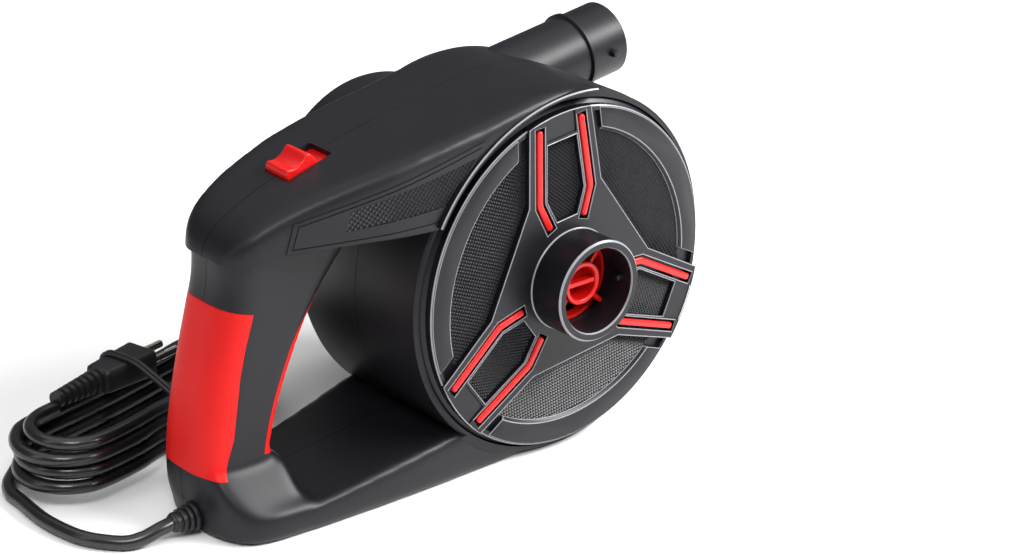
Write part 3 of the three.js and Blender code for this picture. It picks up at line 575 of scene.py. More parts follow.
def camera_matrix():
    """The camera's place: yaw, pitch and roll about the point it aims at."""
    yaw, pitch, roll = (math.radians(a) for a in CAMERA_TURN)
    back = Vector((-math.sin(yaw) * math.cos(pitch), -math.cos(yaw) * math.cos(pitch), math.sin(pitch)))
    right = Vector((math.cos(yaw), -math.sin(yaw), 0))
    up = back.cross(right)
    r = right * math.cos(roll) + up * math.sin(roll)
    u = up * math.cos(roll) - right * math.sin(roll)
    spot = at(*CAMERA_AIM) + back * CAMERA_DISTANCE * MM
    return Matrix.Translation(spot) @ Matrix((r, u, back)).transposed().to_4x4()


def area_light(name, spot, target, size, power):
    """A rectangular white light that faces its target."""
    data = bpy.data.lights.new(name, "AREA")
    data.shape = "RECTANGLE"
    data.size, data.size_y = size
    data.energy = power
    lamp = bpy.data.objects.new(name, data)
    lamp.location = spot
    lamp.rotation_euler = (Vector(target) - Vector(spot)).to_track_quat("-Z", "Y").to_euler()
    bpy.context.scene.collection.objects.link(lamp)


class PUMP_OT_stage(bpy.types.Operator):
    """Makes the camera, the floor and the studio lights"""
    bl_idname = "pump.stage"
    bl_label = "Stage"

    def execute(self, context):
        settings = context.scene.pump_stage
        scene = context.scene
        lens = bpy.data.cameras.new("camera")
        lens.lens = CAMERA_LENS
        lens.shift_x, lens.shift_y = CAMERA_SHIFT
        camera = bpy.data.objects.new("camera", lens)
        camera.matrix_world = camera_matrix()
        scene.collection.objects.link(camera)
        scene.camera = camera

        bm = bmesh.new()
        bmesh.ops.create_grid(bm, x_segments=2, y_segments=2, size=6)
        floor = as_object("floor", bm)
        material = bpy.data.materials.new("studio_paper")
        material.use_nodes = True
        shader = material.node_tree.nodes["Principled BSDF"]
        shader.inputs["Base Color"].default_value = [*settings.floor, 1]
        shader.inputs["Roughness"].default_value = 0.7
        floor.data.materials.append(material)

        world = bpy.data.worlds.new("studio")
        scene.world = world
        world.use_nodes = True
        background = world.node_tree.nodes["Background"]
        background.inputs["Color"].default_value = linear("#f2f4f8")
        background.inputs["Strength"].default_value = 0.2 * settings.exposure
        scene.view_settings.view_transform = "Standard"
        middle = at(-40, 0, 0)
        level = settings.exposure
        area_light("overhead", middle + Vector((-0.1, 0.1, 2.1)), middle, (3.4, 3.0), 37 * level)
        area_light("key_band", middle + Vector((0.95, -0.85, 0.98)), middle, (1.5, 0.3), 62 * level)
        area_light("left_front", middle + Vector((-0.9, -0.85, 1.35)), middle, (0.6, 0.4), 15 * level)
        area_light("left_band", middle + Vector((-1.9, 0.2, 0.9)), middle, (0.4, 1.4), 4 * level)
        return {"FINISHED"}


# ---- cord ------------------------------------------------------------------------------------
# The hank's own frame stands on the floor: x runs along its straight parts, y across them.
CORD_R = 3.5
HANK_AT = Vector((-216, 66.5, BASE_BOTTOM))
HANK_HEADING = math.radians(14)
HANK_RUN = 105
HANK_TURN = 24
HANK_LOW = 1.7
HANK_TOP = 30.0
HANK_ROUNDS = 4
HANK_WAIST = 2.2
PLUG_SIDE = 17.5
RELIEF_START = 9
PLUG_START = 38
PLUG_LENGTH = 34


def on_hank(x, y, z):
    """A point in the hank's own frame, x along its runs and z up from the floor."""
    c, s = math.cos(HANK_HEADING), math.sin(HANK_HEADING)
    return at(HANK_AT.x + x * c - y * s, HANK_AT.y + x * s + y * c, HANK_AT.z + z)


def cord_points():
    """The cord's route: out of the relief, over the floor, round the hank and up to the plug."""
    floor = BASE_BOTTOM + CORD_R + 0.3
    route = [at(*p) for p in (
        (-208.3, -9, -85), (-215.5, -9, -86), (-223, -7.9, -88.2), (-230.2, -4.4, floor),
        (-237.5, 2.6, floor), (-243.6, 12.5, floor), (-247, 26, floor), (-248.4, 42, floor))]
    for angle, inwards in ((190, 0), (172, 0.6), (154, 1.4), (136, 2.4)):
        x, y = polar(HANK_TURN + 2 * CORD_R + 0.6 - inwards, angle)
        route.append(at(HANK_AT.x + x, HANK_AT.y + y, floor))
    low, high = HANK_LOW + CORD_R + 0.1, HANK_TOP + CORD_R
    turns = [(-6, 27.6)]
    splay = (1.5, -0.5, 2.4, 0.4, 1.2)
    for turn in range(HANK_ROUNDS):
        reach = splay[turn]
        turns += [(x, HANK_TURN - HANK_WAIST * math.sin(math.pi * x / HANK_RUN))
                  for x in (10, 30, 52, 74, 92)]
        turns += [(HANK_RUN + (HANK_TURN + splay[4 - turn] * 0.5) * math.cos(math.radians(a)),
                   HANK_TURN * math.sin(math.radians(a))) for a in (82, 55, 28, 0, -28, -55, -82)]
        turns += [(x, -HANK_TURN + HANK_WAIST * math.sin(math.pi * x / HANK_RUN))
                  for x in (94, 76, 56, 38)]
        if turn < HANK_ROUNDS - 1:
            turns += [(20, -HANK_TURN - reach * 0.3)]
            turns += [((HANK_TURN + reach) * math.cos(math.radians(a)),
                       (HANK_TURN + reach * 0.3) * math.sin(math.radians(a)))
                      for a in (-98, -124, -150, -176, 158, 132, 106)]
    tail = (HANK_TURN + PLUG_SIDE) / 2
    shift = (PLUG_SIDE - HANK_TURN) / 2
    turns += [(18, -HANK_TURN)]
    ending = [(tail * math.cos(math.radians(a)), tail * math.sin(math.radians(a)) + shift)
              for a in (-90, -115, -140, -165, -190, -215, -240, -265)]
    ending.append((RELIEF_START - 0.5, PLUG_SIDE))
    reached = [0.0]
    for a, b in zip(turns, turns[1:]):
        reached.append(reached[-1] + math.dist(a, b))
    for (x, y), far in zip(turns, reached):
        z = low + (high - low) * far / reached[-1]
        route.append(on_hank(x, y, z))
    route += [on_hank(x, y, high + 0.2) for x, y in ending]
    return route


class PUMP_OT_cord(bpy.types.Operator):
    """Makes the power cord, its strain relief, tie and plug"""
    bl_idname = "pump.cord"
    bl_label = "Power cord"

    def execute(self, context):
        settings = context.scene.pump_cord
        path = curved(cord_points(), 5)
        radius = settings.diameter / 2 / MM
        cord = settle(as_object("power_cord", tube_mesh(path, radius, 14), 60), "power_cord", "pump",
                      ["cord_pvc"], ["cord_lead", "cord_hank", "cord_tail"])
        plug = self.plug()
        tie = self.tie()
        relief = self.strain_relief()
        return {"FINISHED"}

    def strain_relief(self):
        """A ribbed sleeve that narrows towards the cord."""
        profile = [(0, -16), (CORD_R + 0.4, -16), (CORD_R + 0.9, -15.2)]
        for rib in range(3):
            y = -14.6 + rib * 3.1
            r = 4.9 + rib * 0.75
            profile += [(CORD_R + 0.9, y), (r, y + 0.1), (r + 0.15, y + 1.9), (CORD_R + 0.9, y + 2.0)]
        profile += [(CORD_R + 0.9, -5.6), (7.0, -5.5), (7.2, -3.3), (5.6, -3.1), (5.6, 12), (0, 12)]
        bm = bevelled(along_cord_exit(lathe(profile, steps=40)), 0.25, 35)
        return settle(as_object("cord_relief", bm), "cord_relief", "pump", ["moulded_pvc"],
                      ["strain_relief"])

    def tie(self):
        """A twisted wire tie, two rounds about the hank and the plug."""
        low, side = HANK_LOW - 0.55, HANK_TURN + CORD_R + 0.7
        top, step = HANK_TOP + 15.2, PLUG_SIDE - 11.2
        rounds = []
        for k, shift in enumerate((0.0, 2.6)):
            loop = rounded([(-side + 1.5, low), (side - 0.5, low), (side, 28), (side, top), (step, top),
                            (-side + 1.5, HANK_TOP + 1.2)], 6, 5)
            start = len(loop) // 3
            loop = loop[start:] + loop[:start]
            rounds += [on_hank(52 + shift + 1.6 * i / len(loop), p.x, p.y) for i, p in enumerate(loop)]
        return settle(as_object("cord_tie_wire", tube_mesh(rounds, 1.15, 8), 60), "cord_tie_wire",
                      "pump", ["moulded_pvc"], ["cord_tie"])

    def plug(self):
        """A moulded plug with a ribbed relief, lying on the hank."""
        z = HANK_TOP + 7.5
        points = [on_hank(RELIEF_START + x, PLUG_SIDE, z) for x in
                  [0, 1] + [v / 2 for v in range(3, 60)]]
        count = len(points) - 1

        def ribs(t):
            k = t * count
            base = 4.3 + 2.3 * t
            return base - (0.0 if int(k) % 8 < 5 else 1.3)

        relief = tube_mesh(points, ribs, 16)
        body = self.tapered_block(PLUG_START - 0.5, PLUG_START + PLUG_LENGTH, 10, 7.5, z)
        plug = as_object("plug_body", bevelled(body, 2.6, 40, 4))
        return settle(shaded(combine(plug, relief, "UNION")), "plug_body", "pump", ["moulded_pvc"],
                      ["plug"])

    def tapered_block(self, x0, x1, half_width, half_height, z):
        """The plug's body, narrower towards the cord."""
        bm = bmesh.new()
        bmesh.ops.create_cube(bm, size=1.0)
        ends = Vector(((x1 - x0), 2 * half_width, 2 * half_height - 0.4)) * MM
        bmesh.ops.scale(bm, verts=bm.verts, vec=ends)
        nose = [v for v in bm.verts if v.co.x < 0]
        bmesh.ops.scale(bm, verts=nose, vec=(1, 0.78, 0.86))
        bmesh.ops.rotate(bm, verts=bm.verts, matrix=Matrix.Rotation(HANK_HEADING, 3, "Z"))
        bmesh.ops.translate(bm, verts=bm.verts, vec=on_hank((x0 + x1) / 2, PLUG_SIDE, z))
        return bm


# ---- housing -----------------------------------------------------------------------------------
def hood_skin():
    """The hood with soft edges and a crisp lower edge."""
    hood = as_object("hood", prism(hood_side(), -70, 60))
    combine(hood, prism(hood_plan(), -20, 130, "Z"), "INTERSECT")
    resurfaced(broken(hood), 2.0, 26)
    return combine(hood, prism(hood_lower(), -80, 80), "INTERSECT")


def frame_skin():
    """The handle and the base as one soft skin with a crisp standing face."""
    grip = prism(handle_side(), -22, 22)
    back = [e for e in grip.edges if all(v.co.x < at(-174, 0, 0).x for v in e.verts)
            and abs(e.verts[0].co.y - e.verts[1].co.y) < 1e-5]
    bmesh.ops.bevel(grip, geom=back, offset=13 * MM, affect="EDGES", segments=4, profile=0.5,
                    material=-1, clamp_overlap=False)
    body = as_object("handle", outward(grip))
    base = as_object("base", prism(base_side(), -60, 60))
    combine(base, prism([(-22, -60), (-43, -80), (-43, -90), (26, -90), (26, -80), (22, -60)],
                        -194, -152, "X"), "UNION")
    combine(base, prism(base_plan(), -120, 0, "Z"), "INTERSECT")
    body = resurfaced(joined_mesh(broken(body), broken(base)), 1.9, 26)
    return combine(body, prism([(-210, BASE_BOTTOM), (10, BASE_BOTTOM), (10, 60), (-210, 60)], -80, 80),
                   "INTERSECT")


class PUMP_OT_housing(bpy.types.Operator):
    """Makes the two housing halves with the hood, the handle, the base and both grips"""
    bl_idname = "pump.housing"
    bl_label = "Housing"

    def execute(self, context):
        hood = hood_skin()
        handle = frame_skin()
        self.grips(handle)
        self.trim(hood)
        drum = as_object("drum", lathe([
            (0, DRUM_NEAR), (DRUM_RADIUS - 1.2, DRUM_NEAR), (DRUM_RADIUS, DRUM_NEAR + 1.2),
            (DRUM_RADIUS, DRUM_FAR - 5), (DRUM_RADIUS - 1.5, DRUM_FAR - 1.5),
            (DRUM_RADIUS - 5, DRUM_FAR), (0, DRUM_FAR)], steps=160))
        combine(drum, [hood, handle], "UNION")
        inside = lathe([(0, DRUM_NEAR - 30), (RECESS_RADIUS, DRUM_NEAR - 30), (RECESS_RADIUS, DRUM_NEAR),
                        (90.7, DRUM_NEAR), (90.7, DRUM_FAR - 2.8), (56, DRUM_FAR - 2.8),
                        (56, DRUM_FAR + 5), (0, DRUM_FAR + 5)], steps=160)
        bore, mouth = OUTLET_RADIUS + 0.3, OUTLET_RADIUS + 1.8
        outlet = along_outlet([(0, -8.3), (bore, -8.3), (bore, COLLAR - 0.3), (mouth, COLLAR - 0.3),
                               (mouth, 110), (0, 110)], 72)
        slot = bevelled(on_slope(block((27.4, 18.4, 34), (0, 0, 3))), 1.4, 60, 3)
        gland = along_cord_exit(lathe([(0, -25), (6.0, -25), (6.0, 20), (0, 20)], steps=40))
        combine(drum, [inside, outlet, slot, gland])
        wells = [lathe([(0, 14), (3.8, 14), (3.8, 70), (0, 70)], spot, 24) for spot in SCREW_WELLS]
        combine(drum, wells)
        far = copy_of(drum, "far")
        surround = [(-260, -120), (160, -120), (160, 140), (-260, 140)]
        combine(drum, prism(surround, -120, -SEAM), "INTERSECT")
        combine(far, prism(surround, SEAM, 120), "INTERSECT")
        settle(shaded(drum, 30), "housing_near_shell", "pump", ["spark_eroded_abs"], ["housing_near"])
        settle(shaded(far, 30), "housing_far_shell", "pump", ["spark_eroded_abs"], ["housing_far"])
        self.lip()
        return {"FINISHED"}

    def grips(self, handle):
        """Cuts both inlays out of the handle, with a hair gap, and keeps them as red pieces."""
        for name, node, loop in (("rear_grip_inlay", "rear_grip", REAR_GRIP),
                                 ("finger_grip_inlay", "finger_grip", finger_grip_loop())):
            piece = copy_of(handle, name)
            combine(piece, prism(loop, -40, 40), "INTERSECT")
            settle(shaded(swollen(piece, 0.12), 30), name, "pump", ["red_rubber"], [node])
            seat = copy_of(piece, "seat")
            combine(handle, swollen(seat, 0.25))

    def trim(self, hood):
        """The trim panel on the hood's near face, with its double line and knurled field."""
        panel = [(-153.5, 59), (-157, 44.8), (-82, 47.4), (-58, 84.4)]
        outer = copy_of(hood, "trim_panel")
        swollen(outer, 0.55)
        combine(outer, prism(panel, -70, -26), "INTERSECT")
        lines = [(-151.9, 57.9), (-154.9, 46.5), (-82, 49.4), (-58, 82.6)]
        groove = as_object("groove", prism(lines, -80, 0))
        thinner = [(-151.2, 57.4), (-153.9, 47.2), (-82.4, 50.1), (-58.8, 81.7)]
        combine(groove, prism(thinner, -90, 5))
        ring = copy_of(hood, "ring")
        swollen(ring, 0.05)
        combine(groove, ring, "DIFFERENCE")
        combine(outer, groove)
        field = [(-127.6, 62.2), (-130, 52.6), (-80, 56.6), (-63, 77.2)]
        well = as_object("well", prism(field, -80, 0))
        floor = copy_of(hood, "floor_of_field")
        swollen(floor, -0.1)
        combine(well, floor, "DIFFERENCE")
        combine(outer, well)
        settle(shaded(outer, 25), "hood_trim", "pump", ["satin_abs"], ())
        settle(self.knurl_on(hood, field), "hood_knurl", "pump", ["knurled_abs"], ())

    def knurl_on(self, hood, field):
        """A field of small pyramids laid on the hood's face."""
        pitch = bpy.context.scene.pump_relief.knurl_pitch / MM * 1.1
        count = 52
        bm = bmesh.new()
        bmesh.ops.create_grid(bm, x_segments=count, y_segments=count, size=count * pitch / 2)
        bmesh.ops.rotate(bm, verts=bm.verts, matrix=Matrix.Rotation(math.radians(45), 3, "Z"))
        bmesh.ops.rotate(bm, verts=bm.verts, matrix=Matrix.Rotation(math.radians(8), 3, "Z"))
        outline = [Vector(p) for p in field]
        middle = Vector((-97, 65))

        def within(p):
            sides = []
            for a, b in zip(outline, outline[1:] + outline[:1]):
                edge = b - a
                sides.append(edge.x * (p.y - a.y) - edge.y * (p.x - a.x))
            return all(s > -12 for s in sides) or all(s < 12 for s in sides)

        outside = [f for f in bm.faces
                   if not within(f.calc_center_median().to_2d() + middle)]
        bmesh.ops.delete(bm, geom=outside, context="FACES")
        skin = BVHTree.FromObject(hood, bpy.context.evaluated_depsgraph_get())
        for vertex in bm.verts:
            x, z = vertex.co.x + middle.x, vertex.co.y + middle.y
            hit = skin.ray_cast(at(x, -90, z), Vector((0, 1, 0)))
            vertex.co = hit[0] - Vector((0, 0.05 * MM, 0)) if hit[0] else at(x, -45, z)
        bmesh.ops.recalc_face_normals(bm, faces=bm.faces)
        if sum(f.normal.y for f in bm.faces) > 0:
            bmesh.ops.reverse_faces(bm, faces=bm.faces)
        bmesh.ops.poke(bm, faces=bm.faces, offset=0.6 * MM)
        return as_object("hood_knurl", bm, 10)

    def lip(self):
        """The rim of the round cut-out in the hood, around the side cover."""
        rim = lathe([(RECESS_RADIUS - 0.2, -46), (RECESS_RADIUS - 0.2, -54.4), (RECESS_RADIUS + 0.4, -55),
                     (RECESS_RADIUS + 1.3, -55), (RECESS_RADIUS + 1.9, -54.4), (RECESS_RADIUS + 1.9, -46)],
                    steps=72, degrees=68, start=83)
        # painted highlight: the rim's outer front edge is coloured light grey
        lip = mark_highlight_bands(as_object("hood_rim", rim), [(RECESS_RADIUS + 1.3, RECESS_RADIUS + 2.5, -56, -54.2)])
        settle(lip, "hood_rim", "pump", ["spark_eroded_abs", "edge_highlight_paint"], ())


# ---- side cover --------------------------------------------------------------------------------
def star_loop():
    """Outline of the raised spokes: bars to the rim, joined by straight webs."""
    loop = []
    for angle in sorted(a % 360 for a in SPOKE_ANGLES):
        for u, v in ((46.5, -23.2), (math.sqrt(88.4 ** 2 - 19.6 ** 2), -19.6)):
            loop.append((math.hypot(u, v), math.degrees(math.atan2(v, u)) + angle))
        for v in (-13, -6, 0, 6, 13):
            loop.append((88.4, math.degrees(math.asin(v / 88.4)) + angle))
        for u, v in ((math.sqrt(88.4 ** 2 - 19.6 ** 2), 19.6), (46.5, 23.2)):
            loop.append((math.hypot(u, v), math.degrees(math.atan2(v, u)) + angle))
    return [polar(r, a) for r, a in loop]


STRIP_LINE = [(83.6, 13.3), (45, 16.4), (30.5, 10.7)]


def strip_loop(mirror, half, extra=0.0):
    """A bent strip's outline on one side of a spoke, with its ends drawn out by the extra."""
    line = [Vector((u, v * mirror)) for u, v in STRIP_LINE]
    first, last = (line[1] - line[0]).normalized(), (line[2] - line[1]).normalized()
    n1, n2 = Vector((-first.y, first.x)), Vector((-last.y, last.x))
    middle = (n1 + n2) / (1 + n1.dot(n2))
    ends = (line[0] - first * extra, line[1], line[2] + last * extra)
    left = [p + n * half for p, n in zip(ends, (n1, middle, n2))]
    right = [p - n * half for p, n in zip(ends, (n1, middle, n2))]
    return left + right[::-1]


class PUMP_OT_cover(bpy.types.Operator):
    """Makes the side cover with its intake port, spokes, knurled fields and red strips"""
    bl_idname = "pump.cover"
    bl_label = "Side cover"

    def execute(self, context):
        relief = context.scene.pump_relief
        depth = relief.panel_depth / MM
        high = relief.spoke_height / MM
        edge = relief.edge / MM
        floor = COVER_FRONT + depth
        dish = lathe([
            (HUB_BORE, HUB_FRONT + 0.9), (HUB_BORE + 0.5, HUB_FRONT), (HUB_RADIUS - 0.9, HUB_FRONT),
            (HUB_RADIUS, HUB_FRONT + 0.9), (HUB_RADIUS, COVER_FRONT - high - 0.6),
            (HUB_RADIUS + 0.5, COVER_FRONT - high), (HUB_RADIUS + 1.5, COVER_FRONT - high + 0.2),
            (HUB_RADIUS + 2, floor), (COVER_RADIUS - 3.2, floor), (COVER_RADIUS - 2.6, COVER_FRONT),
            (COVER_RADIUS - 0.6, COVER_FRONT), (COVER_RADIUS, COVER_FRONT + 0.6),
            (COVER_RADIUS, DRUM_NEAR - 1), (90.4, DRUM_NEAR + 1.4), (90.4, DRUM_NEAR + 9),
            (87.6, DRUM_NEAR + 9), (87.6, floor + 2), (24.6, floor + 2), (24.6, -34), (HUB_BORE, -34)],
            steps=160)
        peg = bevelled(block((5.4, 3.0, 3.0), (HUB_BORE - 1.2, HUB_FRONT + 8, 0)), 0.4)
        cover = combine(as_object("cover", dish), peg, "UNION")
        # painted highlight: light grey bands on the front edges of the hub, the bore, the cover's rim and
        # the hub's step
        mark_highlight_bands(cover, [(HUB_RADIUS - 0.9, HUB_RADIUS, HUB_FRONT, HUB_FRONT + 0.9),
                    (HUB_BORE, HUB_BORE + 0.5, HUB_FRONT, HUB_FRONT + 0.9),
                    (COVER_RADIUS - 0.6, COVER_RADIUS, COVER_FRONT, COVER_FRONT + 0.6),
                    (HUB_RADIUS, HUB_RADIUS + 0.5, COVER_FRONT - high - 0.6, COVER_FRONT - high)])
        settle(shaded(cover, 28), "side_cover_dish", "pump", ["satin_abs", "edge_highlight_paint"],
               ["side_cover"])
        self.spokes(COVER_FRONT - high, floor, edge)
        self.crescents(floor, edge)
        self.fields(floor)
        self.strips(COVER_FRONT - high)
        return {"FINISHED"}

    def spokes(self, top, floor, edge):
        """The three raised spokes with their channels, windows and stepped ends."""
        star = as_object("star", prism(star_loop(), top, floor + 0.6))
        for angle in SPOKE_ANGLES:
            for mirror in (1, -1):
                channel = prism(strip_loop(mirror, *CHANNEL), top - 3, floor + 0.15)
                combine(star, spoked(channel, angle))
            combine(star, spoked(prism(WINDOW, top - 3, floor + 3), angle))
            step = [(92, -9.4), (92, 9.4), (76.4, 9.4), (76.4, -9.4)]
            combine(star, spoked(prism(step, top - 3, top + 0.7), angle))
        combine(star, lathe([(0, -90), (HUB_RADIUS + 0.2, -90), (HUB_RADIUS + 0.2, 0), (0, 0)], steps=96))
        settle(shaded(star, 30), "cover_spokes", "pump", ["satin_abs"], ())
        self.arrises(top, edge)

    def arrises(self, top, edge):
        """Painted highlights along the edges of the spokes, of the strips' channels and of the windows:
        thin light grey tubes.
        """
        lines = [star_loop()]
        for angle in SPOKE_ANGLES:
            turn = Matrix.Rotation(math.radians(angle), 2)
            flat = [strip_loop(mirror, *CHANNEL) for mirror in (1, -1)] + [WINDOW]
            lines += [[turn @ Vector(p) for p in loop] for loop in flat]
        whole = bmesh.new()
        for loop in lines:
            points = [at(p[0], top + edge * 0.3, p[1]) for p in [*loop, loop[0], loop[1]]]
            gather(whole, tube_mesh(points, edge, 6))
        settle(as_object("cover_highlight_lines", whole), "cover_highlight_lines", "pump", ["edge_highlight_paint"], ())

    def crescents(self, floor, edge):
        """The rim's segments between the spokes, bevelled towards the knurled floor."""
        for k, angle in enumerate(SPOKE_ANGLES):
            start, end = angle + 17.5, angle + 120 - 17.5
            outer = [polar(COVER_RADIUS - 0.9, start + (end - start) * i / 40) for i in range(41)]
            inner = []
            for i in range(41):
                t = i / 40
                radius = 75.5 - 1.5 * math.sin(math.pi * t)
                inner.append(polar(radius, start + 3.4 + (end - start - 6.8) * t))
            bm = prism([*outer, *reversed(inner)], COVER_FRONT - 0.35, floor + 0.6)
            brink = [e for e in bm.edges if all(v.co.y < at(0, COVER_FRONT, 0).y for v in e.verts) and all(
                math.hypot(*((v.co - ORIGIN) / MM).xz) < 79 for v in e.verts)]
            bmesh.ops.bevel(bm, geom=brink, offset=1.7 * MM, affect="EDGES", segments=1, profile=0.5,
                            material=-1, clamp_overlap=True)
            # painted highlight: the crescents' edges are bevelled in light grey
            bevelled(bm, edge, 40, 2, 1)
            settle(as_object("crescent", bm), f"cover_crescent_{k + 1}", "pump",
                   ["satin_abs", "edge_highlight_paint"], ())

    def fields(self, floor):
        """Knurled floor: rows of pyramids in each sector, finer diamonds in each spoke's window."""
        pitch = bpy.context.scene.pump_relief.knurl_pitch
        whole = bmesh.new()
        for sector, spoke in enumerate(SPOKE_ANGLES):
            for kind, angle in (("sector", spoke + 60), ("window", spoke)):
                step = pitch if kind == "sector" else pitch * 0.92
                count = int(0.18 / step)
                bm = bmesh.new()
                bmesh.ops.create_grid(bm, x_segments=count, y_segments=count, size=count * step / 2)
                turn = {"sector": 0, "window": 45}[kind]
                bmesh.ops.rotate(bm, verts=bm.verts, matrix=Matrix.Rotation(math.radians(turn), 3, "Z"))
                drop = [f for f in bm.faces if not self.inside(kind, f.calc_center_median() / MM)]
                bmesh.ops.delete(bm, geom=drop, context="FACES")
                bmesh.ops.poke(bm, faces=bm.faces, offset=0.8 * MM)
                # lay the grid on the cover: its normal turns to face the front
                lay = (Matrix.Translation(at(0, floor - 0.05, 0))
                       @ Matrix.Rotation(math.radians(-angle), 4, "Y")
                       @ Matrix.Rotation(math.radians(90), 4, "X"))
                bmesh.ops.transform(bm, matrix=lay, verts=bm.verts)
                gather(whole, bm)
        settle(as_object("cover_knurl", whole, 10), "cover_knurl", "pump", ["knurled_abs"], ())

    @staticmethod
    def inside(kind, p):
        """Whether a point of the flat grid lies within its sector or window."""
        radius = math.hypot(p.x, p.y)
        if kind == "window":
            return 32 < p.x < 75.5 and abs(p.y) < 12.4 - max(0.0, (45 - p.x) * 0.3)
        angle = math.degrees(math.atan2(p.y, p.x))
        if radius > 77 or abs(angle) > 60:
            return False
        # behind the star's edge on either side
        for side in (1, -1):
            turned = Vector((p.x, p.y)) @ Matrix.Rotation(math.radians(-60 * side), 2)
            if turned.x > 40 and abs(turned.y) < 19:
                return False
        return p.x > 38

    def strips(self, top):
        """The six red strips in the spokes' channels."""
        for number, (angle, mirror) in enumerate(
                (a, m) for a in SPOKE_ANGLES for m in (1, -1)):
            bm = spoked(prism(rounded(strip_loop(mirror, 1.75), 1.6, 4), top - 0.5, top + 2.2), angle)
            bevelled(bm, 1.0, 50, 3)
            settle(as_object("strip", bm), f"red_strip_{number + 1}", "pump", ["red_abs"],
                   [f"accent_strip_{number + 1}"])


# ---- port guard, outlet, motor cover, switch ---------------------------------------------------
class PUMP_OT_port_guard(bpy.types.Operator):
    """Makes the red finger guard inside the intake port"""
    bl_idname = "pump.port_guard"
    bl_label = "Port guard"

    def execute(self, context):
        front = HUB_FRONT + 12
        cup = as_object("guard", lathe([
            (8.6, front + 0.5), (9.1, front), (10.6, front), (11.1, front + 0.5), (11.1, front + 13),
            (0, front + 13), (0, front + 11), (8.6, front + 11)], steps=64))
        parts = [self.bar(-9.2, 9.2, front + 1, front + 5, 1.2, 0),
                 lathe([(19.6, front + 8), (21.4, front + 8), (21.4, front + 13), (19.6, front + 13)],
                       steps=72)]
        parts += [self.bar(9.5, 21.3, front + 3, front + 13, 1.1, a) for a in (-42, 48, 138, 228)]
        combine(cup, parts, "UNION")
        settle(shaded(cup), "port_guard_cup", "pump", ["red_abs"], ["port_guard"])
        return {"FINISHED"}

    @staticmethod
    def bar(x0, x1, y0, y1, half, angle):
        """A flat bar from one radius to another, at an angle about the port."""
        bar = block((x1 - x0, y1 - y0, 2 * half), ((x0 + x1) / 2, (y0 + y1) / 2, 0))
        return spoked(bevelled(bar, 0.3), angle)


class PUMP_OT_outlet(bpy.types.Operator):
    """Makes the outlet tube with its collar and bayonet pegs"""
    bl_idname = "pump.outlet"
    bl_label = "Outlet tube"

    def execute(self, context):
        outside, bore, end = OUTLET_RADIUS, OUTLET_RADIUS - 2.6, OUTLET_LENGTH
        collar = [(outside, COLLAR), (outside + 1, COLLAR + 0.3), (outside + 1.5, COLLAR + 0.8),
                  (outside + 1.5, COLLAR + 2.6), (outside + 1, COLLAR + 3.1), (outside, COLLAR + 3.3)]
        tube = as_object("outlet", along_outlet([
            (0, -8), (outside, -8), *collar, (outside, end - 0.8), (outside - 0.7, end),
            (bore + 0.5, end), (bore, end - 0.5), (bore, -5.2), (0, -5.2)]))
        drum = lathe([(0, -60), (90.85, -60), (90.85, 60), (0, 60)], steps=160)
        combine(tube, drum)
        for side in (1, -1):
            peg = bmesh.new()
            bmesh.ops.create_cone(peg, cap_ends=True, segments=24, radius1=2.3 * MM, radius2=2.1 * MM,
                                  depth=4.4 * MM)
            bevelled(peg, 0.4, 40)
            turn = (Matrix.Translation(at(*OUTLET_START)) @ Matrix.Rotation(-OUTLET_SLOPE, 4, "Y")
                    @ Matrix.Translation(Vector((65, -20.2 * side, 0)) * MM)
                    @ Matrix.Rotation(math.pi / 2 * side, 4, "X"))
            bmesh.ops.transform(peg, matrix=turn, verts=peg.verts)
            combine(tube, peg, "UNION")
        settle(shaded(tube), "outlet_pipe", "pump", ["spark_eroded_abs"], ["outlet_tube"])
        return {"FINISHED"}


class PUMP_OT_motor_cover(bpy.types.Operator):
    """Makes the motor cover on the far side, with its vents and flange"""
    bl_idname = "pump.motor_cover"
    bl_label = "Motor cover"

    def execute(self, context):
        end, rounding, wall = MOTOR_COVER_END, 9.0, 2.5
        shoulder = MOTOR_COVER_RADIUS - rounding
        outer, inner = ([(shoulder + radius * math.cos(math.radians(a)),
                          end - rounding + radius * math.sin(math.radians(a))) for a in range(0, 91, 15)]
                        for radius in (rounding, rounding - wall))
        cover = as_object("cover", lathe([
            (61.5, 49.3), (74, 49.3), (75, 50.2), (75, 51.4), (74.2, 52.3), (66, 52.3), (64.6, 53),
            (64, 54.6), *outer, (0, end), (0, end - wall), *reversed(inner)], steps=144))
        for row in range(-3, 4):
            combine(cover, self.vent(34 - 3.5 * abs(row), row * 11, end))
        for angle in MOTOR_COVER_SCREWS:
            combine(cover, lathe([(0, 49), (2.1, 49), (2.1, 54), (0, 54)], polar(70, angle), 24))
        settle(shaded(cover, 30), "motor_cover_shell", "pump", ["spark_eroded_abs"], ["motor_cover"])
        return {"FINISHED"}

    @staticmethod
    def vent(half, z, end):
        """A round-ended slot through the cover's end."""
        loop = rounded([(-half, z - 2.2), (half, z - 2.2), (half, z + 2.2), (-half, z + 2.2)], 2.0, 4)
        return prism(loop, end - 6, end + 3)


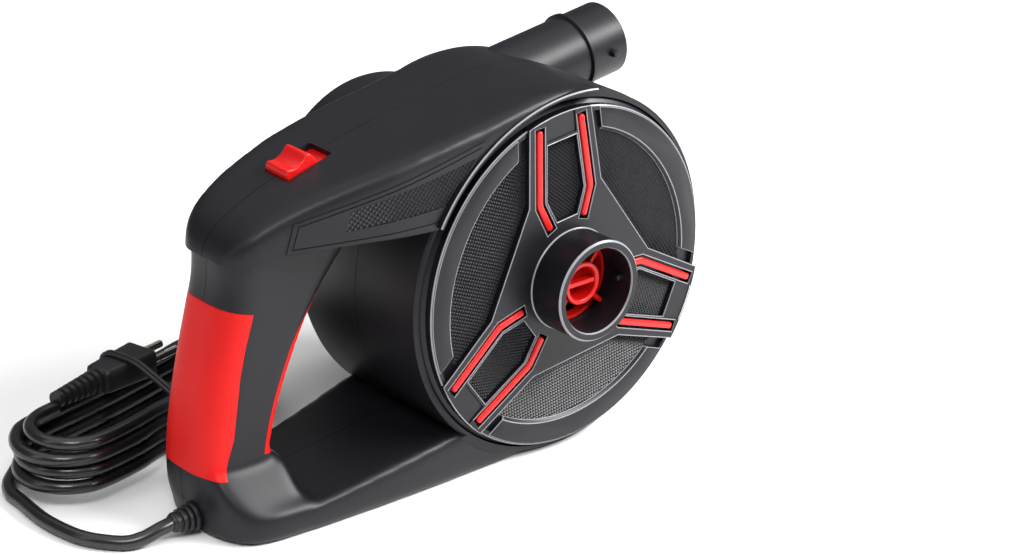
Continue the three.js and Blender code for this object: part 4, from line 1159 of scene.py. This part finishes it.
class PUMP_OT_switch(bpy.types.Operator):
    """Makes the slide switch's button and the strip it carries under the hood"""
    bl_idname = "pump.switch"
    bl_label = "Switch"

    def execute(self, context):
        side = [(-9, -1.6), *curved([(-9, 2.4), (-7.4, 4.4), (-3, 3.3), (1.5, 4.3), (4.6, 6.3), (6.6, 5.6),
                                     (9, 1.8)], 5), (9, -1.6)]
        knob = bevelled(prism(side, -8.5, 8.5), 0.9, 50, 3)
        under = bevelled(prism([(-16, -5), (18, -5), (18, -3.4), (-16, -3.4)], -10.3, 10.3), 0.2)
        post = prism([(-2.5, -8.7), (2.5, -8.7), (2.5, -3.6), (-2.5, -3.6)], -2, 2)
        neck = prism([(-8, -4), (8, -4), (8, -1), (-8, -1)], -7.5, 7.5)
        button = as_object("button", on_slope(knob, -4))
        combine(button, [on_slope(b, -4) for b in (neck, under, post)], "UNION")
        settle(shaded(button, 40), "switch_button", "switch", ["red_abs"], ["switch_slider"])
        return {"FINISHED"}


class PUMP_OT_inner_pieces(bpy.types.Operator):
    """Gives every CAD piece that stays its finish"""
    bl_idname = "pump.inner_pieces"
    bl_label = "Inner pieces"

    def execute(self, context):
        for part in frame["record"]["subparts"]:
            node = frame["nodes"][part["node"]]
            node.data.materials.clear()
            node.data.materials.append(finish(SLOT_FINISH[part["material_slot"]]))
        return {"FINISHED"}


# ---- add-on ------------------------------------------------------------------------------------
OPERATORS = (
    PUMP_OT_stage,
    PUMP_OT_cord,
    PUMP_OT_inner_pieces,
    PUMP_OT_housing,
    PUMP_OT_cover,
    PUMP_OT_port_guard,
    PUMP_OT_outlet,
    PUMP_OT_motor_cover,
    PUMP_OT_switch,
)
SETTINGS = {"pump_cord": PumpCordSettings, "pump_relief": PumpReliefSettings,
            "pump_stage": PumpStageSettings}


class PUMP_PT_panel(bpy.types.Panel):
    """Lists the pump's sizes and pieces"""
    bl_idname = "PUMP_PT_panel"
    bl_label = "Air mattress pump"
    bl_space_type = "VIEW_3D"
    bl_region_type = "UI"
    bl_category = "Pump"

    def draw(self, context):
        for name, group in SETTINGS.items():
            box = self.layout.box()
            for key in group.__annotations__:
                box.prop(getattr(context.scene, name), key)
        for operator in OPERATORS:
            self.layout.operator(operator.bl_idname)


def register():
    for cls in (*SETTINGS.values(), *OPERATORS, PUMP_PT_panel):
        bpy.utils.register_class(cls)
    for name, group in SETTINGS.items():
        setattr(bpy.types.Scene, name, PointerProperty(type=group))


def unregister():
    for name in SETTINGS:
        delattr(bpy.types.Scene, name)
    for cls in reversed((*SETTINGS.values(), *OPERATORS, PUMP_PT_panel)):
        bpy.utils.unregister_class(cls)


def main():
    register()
    for operator in OPERATORS:
        group, name = operator.bl_idname.split(".")
        getattr(getattr(bpy.ops, group), name)()


if __name__ == "__main__":
    main()
